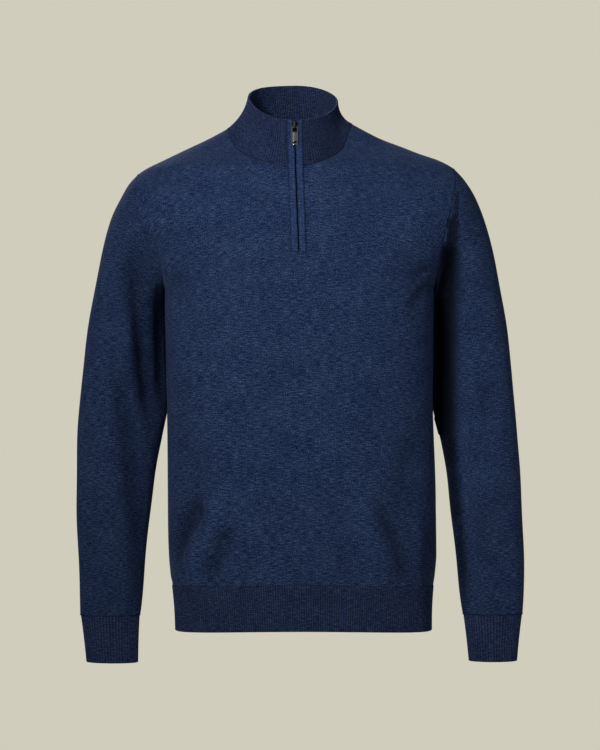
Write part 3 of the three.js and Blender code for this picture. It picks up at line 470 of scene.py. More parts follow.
def body_side_x(hand, y, z):
    """The body's side edge at a height and a depth before or behind its side line."""
    y, z = np.broadcast_arrays(np.asarray(y, float), np.asarray(z, float))
    result = np.zeros(y.shape)
    for face in (-1, 1):
        part = np.clip((y - profile["side"](z)) / depth_of(face, z), 0, 1)
        angle = np.arcsin(part ** (profile["power"](z) / 2))
        x = body_point(hand, face, np.minimum(z, ARMHOLE[hand][1]), angle)[..., 0]
        mine = (y < profile["side"](z)) if face < 0 else (y >= profile["side"](z))
        result = np.where(mine, x, result)
    return result


def keep_clear(points, hand):
    nearest = body_side_x(hand, points[..., 1], points[..., 2]) + hand * SLEEVE_CLEARANCE
    close = (points[..., 2] <= ARMHOLE[hand][1]) & (hand * (points[..., 0] - nearest) < 0)
    points[..., 0] = np.where(close, nearest, points[..., 0])


def smooth_rows(rows, steps):
    """Rows between rows, on smooth lines through them."""
    count = len(rows)
    pick = [rows[min(max(i, 0), count - 1)] for i in range(-1, count + 2)]
    made = []
    for i in range(count - 1):
        p, q, r, s = pick[i], pick[i + 1], pick[i + 2], pick[i + 3]
        for step in range(steps):
            t = step / steps
            made.append(q + 0.5 * t * (r - p + t * (2 * p - 5 * q + 4 * r - s
                                                    + t * (3 * (q - r) + s - p))))
    made.append(rows[-1])
    return np.array(made)


def sleeve(hand, rows, first, second):
    """Sleeve grid from the cuff up. The top ring is the armhole seam of the two panels."""
    angles = np.arange(2 * ARMHOLE_STEPS) * math.pi / ARMHOLE_STEPS
    steps = np.arange(ARMHOLE_STEPS)
    armhole = np.concatenate([first[TIP_ROW - steps], second[TIP_ROW - ARMHOLE_STEPS + steps]])
    outer, inner = armhole[0], armhole[ARMHOLE_STEPS]
    plain = ring({"out_x": outer[0], "out_y": outer[1], "out_z": outer[2], "in_x": inner[0],
                  "in_y": inner[1], "in_z": inner[2], "deep": 70, "touch": 0}, hand, angles)
    own = armhole - plain
    rings = [armhole]
    for row in rows:
        points = ring(row, hand, angles) + own * row["keep"]
        keep_clear(points, hand)
        rings.append(points)
    return smooth_rows(np.array(rings), RING_STEPS)[::-1]


def oval_point(oval, height, angle, offset):
    """Point over an oval. offset, where it isn't nan, is the way from the zip's middle line."""
    cosine = np.cos(angle)
    wide = np.where(cosine < 0, oval["right"], oval["left"])
    deep = np.where(np.sin(angle) < 0, oval["front"], oval["back"])
    x = np.where(np.isnan(offset), wide * cosine, offset)
    y = deep * np.sign(np.sin(angle)) * np.sqrt(np.maximum(1 - (x / wide) ** 2, 0))
    extra = np.where(cosine < 0, height["right"], height["left"]) * (x / wide) ** 2
    z = height["middle"] + height["slope"] * y + extra
    return np.stack([centre_x(z) + x, y, z], axis=-1)


def arc_lengths(line):
    steps = np.linalg.norm(np.diff(line, axis=0), axis=1)
    return np.concatenate([[0], np.cumsum(steps)])


def column_lengths(grid):
    """Length up each column of a grid, from its first row."""
    steps = np.linalg.norm(np.diff(grid, axis=0), axis=-1)
    return np.concatenate([np.zeros((1, grid.shape[1])), np.cumsum(steps, axis=0)])


def resample(line, count):
    """A line of points as count + 1 evenly spaced ones."""
    at = arc_lengths(line)
    wanted = np.linspace(0, at[-1], count + 1)
    return np.stack([np.interp(wanted, at, line[:, k]) for k in range(3)], axis=-1)


def grid_normals(grid, closed):
    if closed:
        across = np.roll(grid, -1, axis=1) - np.roll(grid, 1, axis=1)
    else:
        across = np.gradient(grid, axis=1)
    up = np.gradient(grid, axis=0)
    normals = np.cross(across, up)
    size = np.linalg.norm(normals, axis=-1, keepdims=True)
    return normals / np.maximum(size, 1e-9)


def stroke_place(stroke, points):
    """Place along a stroke from 0 to 1, and the distance from it as a share of its width."""
    way = np.array([stroke["x1"] - stroke["x0"], stroke["z1"] - stroke["z0"]], float)
    dx = points[..., 0] - stroke["x0"]
    dz = points[..., 2] - stroke["z0"]
    t = np.clip((dx * way[0] + dz * way[1]) / (way @ way), 0, 1)
    return t, np.hypot(dx - t * way[0], dz - t * way[1]) / stroke["wide"]


def fold_depths(points, normals):
    """Height of the folds at each point, and the share of light that their painted shade and painted
    highlight leave.
    """
    total = np.zeros(points.shape[:-1])
    light = np.ones(points.shape[:-1])
    for fold in FOLDS:
        t, away = stroke_place(fold, points)
        facing = np.clip(1.5 * fold["face"] * normals[..., 1], 0, 1)
        taper = np.clip(1.25 * np.sin(math.pi * (0.08 + 0.84 * t)), 0, 1)
        stroke = taper * facing * np.exp(-away * away)
        total += fold["deep"] * stroke
        # Painted shade, and painted highlight where shade is negative
        light *= 1 - fold["shade"] * stroke
    return total, light


def ripple(points):
    """Slight unevenness of hanging cloth."""
    x, y, z = points[..., 0], points[..., 1], points[..., 2]
    return (0.5 * np.sin(x / 23 + z / 71 + 1.3) * np.sin(z / 37 + y / 53)
            + 0.35 * np.sin(x / 11.5 - z / 29 + 0.4) * np.sin(z / 61 + 2.1))


def press_valley(points, normals):
    """The points with the valley pressed into them, and the share of light that its painted shade leaves."""
    depth = np.zeros(points.shape[:-1])
    shade = np.zeros(points.shape[:-1])
    pushed = np.clip(-2.5 * normals[..., 1] + 0.2, 0, 1)
    # Painted shade, which reaches further round the sleeve than the press
    dimmed = np.clip(-2.5 * normals[..., 1] + 1.4, 0, 1)
    for stroke in VALLEY:
        strength = np.exp(-stroke_place(stroke, points)[1] ** 4)
        depth = np.maximum(depth, stroke["deep"] * strength * pushed)
        shade = np.maximum(shade, stroke["shade"] * strength * dimmed)
    pressed = points.copy()
    pressed[..., 1] += depth
    return pressed, 1 - shade


def folded(grid, closed, fade, fold_fade=1.0):
    """The grid with its folds, and the shares of light painted by the folds. fade is each row's share of the
    ripple.
    """
    normals = grid_normals(grid, closed)
    folds, light = fold_depths(grid, normals)
    depth = folds * fold_fade + ripple(grid) * fade
    return grid + normals * depth[..., None], light


def link(obj):
    bpy.context.scene.collection.objects.link(obj)
    return obj


def new_mesh(name, points, faces, material, uv, light=None):
    """Mesh from points in millimetres. light is each point's share of light painted into the colour: below 1
    painted shade, above 1 painted highlight, 1 on plain cloth.
    """
    mesh = bpy.data.meshes.new(name)
    mesh.from_pydata((np.asarray(points) * MM).tolist(), [], [tuple(f) for f in faces])
    mesh.materials.append(material)
    layer = mesh.uv_layers.new(name="cloth")
    index = np.empty(len(mesh.loops), dtype=np.int32)
    mesh.loops.foreach_get("vertex_index", index)
    layer.data.foreach_set("uv", (np.asarray(uv) * MM)[index].astype(np.float32).ravel())
    # Each point's painted light, which the knit materials multiply into their colour
    share = mesh.attributes.new("painted_light_share", "FLOAT", "POINT")
    share.data.foreach_set("value", np.ones(len(mesh.vertices)) if light is None else np.ravel(light))
    mesh.shade_smooth()
    mesh.update()
    obj = link(bpy.data.objects.new(name, mesh))
    return obj


def grid_faces(rows, columns, closed, start=0):
    i, j = np.meshgrid(np.arange(rows - 1), np.arange(columns if closed else columns - 1), indexing="ij")
    k = (j + 1) % columns
    corners = [i * columns + j, i * columns + k, (i + 1) * columns + k, (i + 1) * columns + j]
    return np.stack(corners, axis=-1).reshape(-1, 4) + start


def rounded_edge(outer, inner, before, bulge, shares):
    """Rows over a free edge, from the outer face's last row to the inner face's."""
    way = outer - before
    way /= np.linalg.norm(way, axis=-1, keepdims=True)
    return [lerp(outer, inner, t) + way * (bulge * math.sin(math.pi * t)) for t in shares]


def shell(name, outer, inner, closed, material, rounded_top=0.0, rounded_bottom=0.0,
          light=None, light_inside=None):
    """Closed wall between an outer and an inner grid. Free edges are rounded by that many mm."""
    rows, columns = outer.shape[:2]
    top_edge = []
    bottom_edge = []
    if rounded_top:
        top_edge = rounded_edge(outer[-1], inner[-1], outer[-2], rounded_top, EDGE_SHARES)
    if rounded_bottom:
        bottom_edge = rounded_edge(outer[0], inner[0], outer[1], rounded_bottom, EDGE_SHARES[::-1])
    # One long belt: up the outer face, over the top edge, down the inner face, round the bottom
    belt = np.array([*outer, *top_edge, *inner[::-1], *bottom_edge])
    count = len(belt)
    u = np.repeat(arc_lengths(outer[rows // 2])[None, :], count, axis=0)
    rise = column_lengths(outer)
    v = np.concatenate([rise, np.repeat(rise[-1:], len(top_edge), axis=0), rise[::-1],
                        np.zeros((len(bottom_edge), columns))])
    uv = np.stack([u, v], axis=-1).reshape(-1, 2)
    # Painted light of the outer and the inner face, 1 where none is painted
    if light is None:
        light = np.ones(outer.shape[:2])
    if light_inside is None:
        light_inside = light
    # Painted light over the rounded edges: the mean of the two faces', and a painted highlight along the top
    # edge
    edge_light = lerp(light, light_inside, 0.5)
    lights = np.concatenate([light, np.repeat(edge_light[-1:] * RIM_PAINTED_HIGHLIGHT, len(top_edge), axis=0),
                             light_inside[::-1], np.repeat(edge_light[:1], len(bottom_edge), axis=0)])
    faces = [grid_faces(count, columns, closed)]
    last = (count - 1) * columns
    j = np.arange(columns if closed else columns - 1)
    k = (j + 1) % columns
    faces.append(np.stack([last + j, last + k, k, j], axis=-1))
    if not closed:
        # Ends of the belt: quads between the outer and the inner column
        for column, flip in ((0, True), (columns - 1, False)):
            i = np.arange(rows - 1)
            back = count - len(bottom_edge) - 1 - i
            quads = np.stack([i * columns + column, back * columns + column,
                              (back - 1) * columns + column, (i + 1) * columns + column], axis=-1)
            faces.append(quads[:, ::-1] if flip else quads)
            for edge, base in ((top_edge, rows - 1), (bottom_edge, count - len(bottom_edge) - 1)):
                if edge:
                    corners = [(base + n) % count * columns + column for n in range(len(edge) + 2)]
                    faces.append([corners[::-1] if flip else corners])
    flat = [list(map(int, face)) for group in faces for face in group]
    return new_mesh(name, belt.reshape(-1, 3), flat, material, uv, lights)


def mixed_shell(name, parts):
    """Panel wall on several open grids that share edge points, as one mesh merged at those points."""
    points, faces, uvs, lights = [], [], [], []
    start = 0
    for grid, uv, light in parts:
        rows, columns = grid.shape[:2]
        points.append(grid.reshape(-1, 3))
        faces.append(grid_faces(rows, columns, False, start))
        uvs.append(uv.reshape(-1, 2))
        lights.append(light.ravel())
        start += rows * columns
    points = np.concatenate(points)
    uvs = np.concatenate(uvs)
    lights = np.concatenate(lights)
    _, first, back = np.unique(np.round(points, 4), axis=0, return_index=True, return_inverse=True)
    faces = back.ravel()[np.concatenate(faces)]
    points, uvs, lights = points[first], uvs[first], lights[first]
    a, b, c, d = (points[faces[:, k]] for k in range(4))
    out = np.cross(c - a, d - b)
    normals = np.zeros_like(points)
    for k in range(4):
        np.add.at(normals, faces[:, k], out)
    normals /= np.maximum(np.linalg.norm(normals, axis=1, keepdims=True), 1e-9)
    inner = points - normals * BODY_WALL
    edges = {}
    for quad in faces.tolist():
        for k in range(4):
            edges[(quad[k], quad[(k + 1) % 4])] = True
    total = len(points)
    walls = [(q, p, p + total, q + total) for p, q in edges if (q, p) not in edges]
    every = faces.tolist() + (faces[:, ::-1] + total).tolist() + walls
    return new_mesh(name, np.concatenate([points, inner]), every, KNIT,
                    np.concatenate([uvs, uvs]), np.concatenate([lights, lights]))


def grid_uv(grid, centre_column):
    """Lengths across from a column and up the courses of a grid, in millimetres."""
    steps = np.linalg.norm(np.diff(grid, axis=1), axis=-1)
    u = np.concatenate([np.zeros((len(grid), 1)), np.cumsum(steps, axis=1)], axis=1)
    return np.stack([u - u[:, centre_column][:, None], column_lengths(grid)], axis=-1)


def colour(r, g, b):
    """Linear colour from a screen colour of 0 to 255."""
    def line(v):
        v /= 255
        return v / 12.92 if v <= 0.04045 else ((v + 0.055) / 1.055) ** 2.4
    return (line(r), line(g), line(b), 1)


def add_node(tree, kind, inputs):
    """New shader node. Its inputs are set to plain values, or linked from other nodes' outputs."""
    node = tree.nodes.new("ShaderNode" + kind)
    fill_inputs(tree, node, inputs)
    return node


def fill_inputs(tree, node, inputs):
    for name, value in inputs.items():
        if isinstance(value, bpy.types.NodeSocket):
            tree.links.new(value, node.inputs[name])
        else:
            node.inputs[name].default_value = value


def math_node(tree, operation, *values):
    node = tree.nodes.new("ShaderNodeMath")
    node.operation = operation
    fill_inputs(tree, node, dict(enumerate(values)))
    return node.outputs[0]


def multiply_node(tree, tone, factor):
    node = tree.nodes.new("ShaderNodeMix")
    node.data_type = "RGBA"
    node.blend_type = "MULTIPLY"
    fill_inputs(tree, node, {"Factor": 1, "A": tone, "B": factor})
    return node.outputs["Result"]


def ramp_node(tree, value, stops):
    """Colour ramp with stops of a place and a colour, lowest first."""
    node = add_node(tree, "ValToRGB", {0: value})
    elements = node.color_ramp.elements
    while len(elements) < len(stops):
        elements.new(0.5)
    for element, (place, tone) in zip(elements, stops):
        element.position = place
        element.color = tone
    return node.outputs[0]


def noise_node(tree, u, v, wide, tall):
    """Noise whose grains are about that wide and tall, in mm."""
    place = add_node(tree, "CombineXYZ", {0: math_node(tree, "MULTIPLY", u, 1 / (wide * MM)),
                                          1: math_node(tree, "MULTIPLY", v, 1 / (tall * MM))})
    noise = add_node(tree, "TexNoise", {"Scale": 1, "Detail": 1, "Roughness": 0.6,
                                        "Vector": place.outputs[0]})
    return noise.outputs[0]


def new_material(name):
    material = bpy.data.materials.new(name)
    material.use_nodes = True
    return material, material.node_tree, material.node_tree.nodes["Principled BSDF"]


def knit_material(name, dark, light, fleck, wale, course, bump, painted_light_bands=None):
    """Heathered knit: V stitches of that wale and course in mm as bump, flecked yarn as colour,
    times each point's painted light. The tones across a strip are painted highlights and painted shade, as
    pairs of a place from 0 to 1 and a brightness."""
    material, tree, shader = new_material(name)
    fill_inputs(tree, shader, CLOTH_FINISH)
    uv = tree.nodes.new("ShaderNodeUVMap")
    uv.uv_map = "cloth"
    split = add_node(tree, "SeparateXYZ", {0: uv.outputs[0]})
    u, v = split.outputs[0], split.outputs[1]
    across = math_node(tree, "MULTIPLY", u, 1 / (wale * MM))
    along = math_node(tree, "MULTIPLY", v, 1 / (course * MM))
    # Each wale is a row of Vs: the two legs lean to the wale's middle
    cell = math_node(tree, "PINGPONG", across, 0.5)
    slant = math_node(tree, "ADD", along, math_node(tree, "MULTIPLY", cell, STITCH_LEAN))
    leg = math_node(tree, "SINE", math_node(tree, "MULTIPLY", slant, 2 * math.pi))
    wall = math_node(tree, "SINE", math_node(tree, "MULTIPLY", cell, 2 * math.pi))
    stitch = math_node(tree, "ADD", math_node(tree, "MULTIPLY", leg, 0.35), wall)
    # Yarn flecks: single stitches, short streaks along the courses, and soft patches
    grains = [noise_node(tree, u, v, wide, tall) for wide, tall, share in FLECKS]
    shares = [math_node(tree, "MULTIPLY", grain, fleck_row[2]) for grain, fleck_row in zip(grains, FLECKS)]
    blend = math_node(tree, "ADD", math_node(tree, "ADD", shares[0], shares[1]), shares[2])
    tone = ramp_node(tree, blend, [(0.42, dark), (0.52, light), (0.58, fleck)])
    if painted_light_bands:
        # Painted highlights and painted shade across the strip
        strip = math_node(tree, "ADD", math_node(tree, "MULTIPLY", u, 1 / (STRIP_WIDTH * MM)), 0.5)
        tone = multiply_node(tree, tone, ramp_node(tree, strip, [(at, (b, b, b, 1)) for at, b in painted_light_bands]))
    # Painted light: the colour is multiplied by each point's painted shade and painted highlight
    share = tree.nodes.new("ShaderNodeAttribute")
    share.attribute_name = "painted_light_share"
    height = math_node(tree, "ADD", stitch, math_node(tree, "MULTIPLY", grains[0], 1.5))
    bumped = add_node(tree, "Bump", {"Strength": bump, "Distance": 0.3 * MM, "Height": height})
    fill_inputs(tree, shader, {"Base Color": multiply_node(tree, tone, share.outputs["Color"]),
                               "Normal": bumped.outputs[0]})
    return material


def metal_material(name, tone, roughness, scratches, crown=0.0, middle=0.0):
    """Worn metal. crown is the radius in mm that its face seems turned to, about a middle x."""
    material, tree, shader = new_material(name)
    place = tree.nodes.new("ShaderNodeTexCoord").outputs["Object"]
    noise = add_node(tree, "TexNoise", {"Scale": 900, "Detail": 4, "Vector": place}).outputs[0]
    spread = add_node(tree, "MapRange", {"To Min": roughness - scratches, "To Max": roughness + scratches,
                                         "Value": noise})
    worn = tuple(0.8 * v for v in tone[:3]) + (1,)
    fill_inputs(tree, shader, {"Metallic": 1, "Roughness": spread.outputs[0],
                               "Base Color": ramp_node(tree, noise, [(0, worn), (1, tone)])})
    if crown:
        split = add_node(tree, "SeparateXYZ", {0: place})
        side = math_node(tree, "SUBTRACT", split.outputs[0], middle * MM)
        drop = math_node(tree, "MULTIPLY", math_node(tree, "MULTIPLY", side, side), -0.5 / (crown * MM))
        turned = add_node(tree, "Bump", {"Distance": 1, "Height": drop})
        fill_inputs(tree, shader, {"Normal": turned.outputs[0]})
    return material


CLOTH_FINISH = {"Roughness": 0.95, "Specular IOR Level": 0.08, "Sheen Weight": 0.07, "Sheen Roughness": 0.5,
                "Sheen Tint": (0.4, 0.55, 1, 1)}
FLECKS = [(1.25, 1.0, 0.6), (10, 1.1, 0.34), (60, 34, 0.06)]
STITCH_LEAN = 1.3
STRIP_WIDTH = 9
# Painted light across a facing strip: painted shade at its sides and in its middle, painted highlights near
# its edges
FACING_PAINTED_LIGHT = [(0.0, 0.5), (0.09, 1.35), (0.2, 1.0), (0.46, 0.9), (0.54, 0.9), (0.8, 1.0), (0.91, 1.35),
                (1.0, 0.5)]
KNIT = knit_material("navy_knit", colour(17, 30, 67), colour(33, 50, 88), colour(78, 99, 136), 1.6, 1.4, 0.3)
RIB = knit_material("navy_rib", colour(23, 33, 65), colour(37, 49, 84), colour(68, 84, 117), 1.6, 1.4, 0.3)
FACING = knit_material("navy_facing", colour(24, 38, 76), colour(39, 57, 95), colour(74, 95, 134), 1.5, 1.2,
                       0.3, FACING_PAINTED_LIGHT)
YARN = knit_material("seam_yarn", colour(16, 25, 46), colour(28, 41, 68), colour(50, 66, 98), 0.8, 0.8, 0.3)
TAPE = knit_material("tape_weave", colour(8, 11, 22), colour(13, 18, 32), colour(22, 28, 44), 0.8, 0.8, 0.4)
TEETH = metal_material("dark_teeth", (0.035, 0.036, 0.042, 1), 0.42, 0.08)
BRONZE = metal_material("dark_bronze", (0.1, 0.085, 0.07, 1), 0.3, 0.08, 3.5, 1.2)
NICKEL = metal_material("bright_nickel", (0.8, 0.81, 0.84, 1), 0.22, 0.06, 6, 1.2)


def build_camera():
    data = bpy.data.cameras.new("camera")
    data.sensor_fit = "VERTICAL"
    data.sensor_height = CAMERA["sensor"]
    data.lens = CAMERA["lens"]
    data.clip_end = 50
    camera = link(bpy.data.objects.new("camera", data))
    camera.location = (CAMERA["x"] * MM, -CAMERA["away"] * MM, CAMERA["z"] * MM)
    camera.rotation_euler = (math.pi / 2, 0, 0)
    bpy.context.scene.camera = camera


def area_light(name, place, target, size, power, tint, spread=180):
    data = bpy.data.lights.new(name, "AREA")
    data.shape = "SQUARE"
    data.size = size
    data.energy = power
    data.color = tint
    data.spread = math.radians(spread)
    light = link(bpy.data.objects.new(name, data))
    light.location = place
    way = Vector(target) - Vector(place)
    light.rotation_euler = way.to_track_quat("-Z", "Y").to_euler()


def camera_switch(tree, lighting, seen, output):
    """The camera sees one shader, and the other one lights the scene."""
    ray = tree.nodes.new("ShaderNodeLightPath")
    either = add_node(tree, "MixShader", {0: ray.outputs["Is Camera Ray"], 1: lighting, 2: seen})
    tree.links.new(either.outputs[0], tree.nodes[output].inputs[0])


def build_studio():
    scene = bpy.context.scene
    scene.view_settings.view_transform = "Standard"
    world = bpy.data.worlds.new("studio")
    scene.world = world
    world.use_nodes = True
    tree = world.node_tree
    # The backdrop is seen as bright as it is, and lights the cloth as a dim room
    seen, room = (add_node(tree, "Background", {0: tone + (1,), 1: 1}) for tone in (BACKDROP, ROOM_LIGHT))
    camera_switch(tree, room.outputs[0], seen.outputs[0], "World Output")
    area_light("key", (-1.3, -2.75, 0.8), (0.12, -0.1, -0.05), 0.8, 4.5, (1, 0.99, 0.96), 46)
    area_light("fill", (2.5, -1.9, 0.1), (0.2, 0, -0.4), 1.2, 9, (0.94, 0.97, 1))
    area_light("back", (-0.8, 2.8, 1.3), (0, 0, -0.3), 1.6, 60, (1, 1, 1))
    angles = np.linspace(0, 2 * math.pi, FLOOR_CORNERS, endpoint=False)
    rim = np.stack([FLOOR_RADIUS * np.cos(angles), FLOOR_RADIUS * np.sin(angles),
                    np.full(FLOOR_CORNERS, float(FLOOR_HEIGHT))], axis=-1)
    mesh = bpy.data.meshes.new("floor")
    mesh.from_pydata((rim * MM).tolist(), [], [tuple(range(FLOOR_CORNERS))])
    pale, tree, shader = new_material("pale_floor")
    noise = add_node(tree, "TexNoise", {"Scale": 3})
    tone = ramp_node(tree, noise.outputs[0], [(0, (0.57, 0.55, 0.455, 1)), (1, (0.6, 0.58, 0.48, 1))])
    fill_inputs(tree, shader, {"Roughness": 0.9, "Base Color": tone})
    glow = add_node(tree, "Emission", {0: tone})
    camera_switch(tree, shader.outputs[0], glow.outputs[0], "Material Output")
    mesh.materials.append(pale)
    link(bpy.data.objects.new("floor", mesh))


def row_fade(rows, low, high):
    """Share of each row, which falls to 0 over that many rows at the bottom and the top."""
    index = np.arange(rows)
    return (np.clip(index / low, 0, 1) * np.clip((rows - 1 - index) / high, 0, 1))[:, None]


def build_panels():
    """Front and back panels. Returns the folded grids that the other pieces start from."""
    grids = (half_panel(-1, -1), half_panel(1, -1)[:, ::-1],
             np.concatenate([half_panel(1, 1), half_panel(-1, 1)[:, ::-1][:, 1:]], axis=1))
    fade = row_fade(NECK_ROW + 1, 3, 8)
    (right, light_right), (left, light_left), (back, light_back) = (
        folded(grid, False, fade) for grid in grids)
    # Below the zip a narrow bridge joins the two halves of the front
    low = slice(0, ZIP_ROW + 1)
    bridge = np.stack([right[low, -1], (right[low, -1] + left[low, 0]) / 2, left[low, 0]], axis=1)
    uv_right = grid_uv(right, right.shape[1] - 1)
    uv_left = grid_uv(left, 0) + (2 * SLIT_HALF, 0)
    uv_bridge = np.stack([uv_right[low, -1], uv_right[low, -1] + (SLIT_HALF, 0), uv_left[low, 0]], axis=1)
    parts = [(right, uv_right, light_right),
             (bridge, uv_bridge, np.repeat(light_right[low, -1:], 3, axis=1)),
             (left, uv_left, light_left)]
    front_obj = mixed_shell("front_shell", parts)
    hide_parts("front")
    back_obj = mixed_shell("back_shell", [(back, grid_uv(back, back.shape[1] // 2), light_back)])
    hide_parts("back")
    return right, left, back, front_obj, back_obj


def sleeve_shell(name, hand, rows, first, second):
    grid = sleeve(hand, rows, first, second)
    fade = row_fade(len(grid), 4, 2 * RING_STEPS)
    grid, light = folded(grid, True, fade, fade)
    if hand == VALLEY_HAND:
        grid, left = press_valley(grid, grid_normals(grid, True))
        # The valley's painted shade
        light = light * left
    keep_clear(grid, hand)
    inner = grid - grid_normals(grid, True) * BODY_WALL
    # The sleeve's colour carries the painted shade of its folds and valley, and painted shade over all of it
    obj = shell(name + "_shell", grid, inner, True, KNIT, light=light * SLEEVE_SHADE[hand])
    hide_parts(name)
    return grid, obj


def ribbed(grid, ribs, wall, closed, plain_ends=0):
    """Outer and inner faces of a rib band. Ribs run up the rows, and inside they lie between the
    outer ones. plain_ends is the share of the columns at either end that stays plain."""
    columns = grid.shape[1]
    share = np.arange(columns) / (columns if closed else columns - 1)
    turn = share * ribs * 2 * math.pi
    on = np.clip((np.minimum(share, 1 - share) - plain_ends) * 200, 0, 1) if plain_ends else np.ones(columns)
    raised = (0.5 - 0.5 * np.cos(turn)) ** 0.7 * RIB_HEIGHT * on
    sunk = (0.5 + 0.5 * np.cos(turn)) ** 0.7 * RIB_HEIGHT * on
    normals = grid_normals(grid, closed)
    outer = grid + normals * raised[None, :, None]
    inner = grid - normals * (wall + sunk[None, :, None])
    # Painted shade in the rib grooves and painted highlight on the crests, outside and inside, and painted
    # shade on plain ends
    whole = np.ones(grid.shape[:2])
    light = whole * np.where(on > 0, lerp(GROOVE_SHADE, RIB_CREST_HIGHLIGHT, raised / RIB_HEIGHT), PLAIN_SHADE)
    light_inside = whole * lerp(RIB_CREST_HIGHLIGHT, GROOVE_SHADE, sunk / RIB_HEIGHT)
    return outer, inner, light, light_inside


def band_shell(name, grid, ribs, closed):
    """Cuff or hem: a ribbed band with a rounded free edge at its bottom."""
    outer, inner, light, light_inside = ribbed(grid, ribs, BAND_WALL, closed)
    obj = shell(name + "_ribs", outer, inner, closed, RIB, rounded_bottom=EDGE_ROUND,
                light=light, light_inside=light_inside)
    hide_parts(name)
    return grid, obj


def cuff_shell(name, hand, sleeve_row, cuff_row):
    angles = np.arange(CUFF_RIBS * RIB_SAMPLES) / (CUFF_RIBS * RIB_SAMPLES) * 2 * math.pi
    top = ring(sleeve_row, hand, angles)
    bottom = ring(cuff_row, hand, angles)
    top[:, :2] -= (top[:, :2] - top[:, :2].mean(axis=0)) * CUFF_DRAW
    t = np.linspace(0, 1, BAND_ROWS)[:, None, None]
    middle = (top.mean(axis=0) + bottom.mean(axis=0)) / 2
    grid = lerp(bottom[None], top[None], t)
    grid[..., :2] += (middle[:2] - grid[..., :2]) * np.sin(math.pi * t) * CUFF_WAIST
    return band_shell(name, grid, CUFF_RIBS, True)


def hem_bottom(top, face):
    """Bottom edge of the hem under each point of its top edge."""
    hand = np.where(top[:, 0] < centre_x(top[:, 2]), -1, 1)
    points = np.zeros_like(top)
    for side in (-1, 1):
        mine = hand == side
        z = top[mine, 2]
        across = np.clip(np.abs(top[mine, 0] - centre_x(z)) / half_width(side, face, z), 0, 1)
        angle = np.arccos(across ** (profile["power"](z) / 2))
        low = np.full(len(z), float(HEM_BOTTOM[face]))
        made = body_point(side, face, low, angle)
        made[:, 2] = lerp(low, HEM_BOTTOM[1], across ** 2)
        points[mine] = made
    return points


def hem_shell(name, face, top_line):
    ribs = round(arc_lengths(top_line)[-1] / RIB_PITCH)
    top = resample(top_line, ribs * RIB_SAMPLES)
    bottom = resample(hem_bottom(top, face), ribs * RIB_SAMPLES)
    t = np.linspace(0, 1, BAND_ROWS)[:, None, None]
    grid = lerp(bottom[None], top[None], t)
    grid = grid - grid_normals(grid, False) * (np.sin(math.pi * t) * HEM_WAIST + (1 - t) * 0.2)
    return band_shell(name, grid, ribs, False)


def collar_grid(neck_ring):
    """Rows go up from the neck seam to the rim, columns from the left slit edge round the back."""
    ribs = round(arc_lengths(neck_ring)[-1] / COLLAR_PITCH)
    neck = resample(neck_ring, ribs * RIB_SAMPLES)
    offset = neck[:, 0] - centre_x(neck[:, 2])
    wide = np.where(offset < 0, NECK_OVAL["right"], NECK_OVAL["left"])
    deep = np.where(neck[:, 1] < 0, NECK_OVAL["front"], NECK_OVAL["back"])
    angle = np.arctan2(neck[:, 1] / deep, offset / wide)
    at_front = (neck[:, 1] < 0) & (np.abs(offset) < PLACKET_LINE + COLLAR_EASE)
    past = np.clip((np.abs(offset) - PLACKET_LINE) / COLLAR_EASE, 0, 1)

    def offsets(oval, slit_half):
        """Ways from the zip's middle line near the front, where the plackets run straight, else nan."""
        half = np.where(np.cos(angle) < 0, oval["right"], oval["left"])
        by_angle = np.abs(half * np.cos(angle))
        near = np.clip((np.abs(offset) - SLIT_HALF) / (PLACKET_LINE - SLIT_HALF), 0, 1)
        straight = lerp(slit_half, PLACKET_LINE, near)
        missing = PLACKET_LINE * (1 - half / wide)
        value = np.where(past > 0, by_angle + missing * (1 - past), straight)
        return np.where(at_front, np.sign(offset) * value, np.nan)

    waist = oval_point(WAIST_OVAL, WAIST_HEIGHT, angle, offsets(WAIST_OVAL, SLIT_HALF))
    rim = oval_point(RIM_OVAL, RIM_HEIGHT, angle, offsets(RIM_OVAL, SLIT_HALF_TOP))
    t = np.linspace(0, 1, COLLAR_ROWS)[:, None, None]
    grid = neck * (1 - t) ** 2 + waist * 2 * t * (1 - t) + rim * t * t
    return grid, ribs


def collar_shell(neck_ring):
    grid, ribs = collar_grid(neck_ring)
    wave = COLLAR_WAVE * np.sin(grid[..., 0] / 17 + grid[..., 2] / 19)
    wave = wave * np.linspace(0, 1, COLLAR_ROWS)[:, None]
    grid = grid + grid_normals(grid, False) * wave[..., None]
    outer, inner, light, light_inside = ribbed(grid, ribs, COLLAR_WALL, False, plain_ends=COLLAR_PLAIN_ENDS)
    # Painted shade over the collar, deeper towards plus x, and painted shade inside it
    obj = shell("collar_ribs", outer, inner, False, RIB, rounded_top=RIM_ROUND,
                light=light * np.interp(grid[..., 0], COLLAR_SHADE_AT, COLLAR_SHADE),
                light_inside=light_inside * COLLAR_INSIDE_SHADE)
    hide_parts("collar")
    return grid, obj


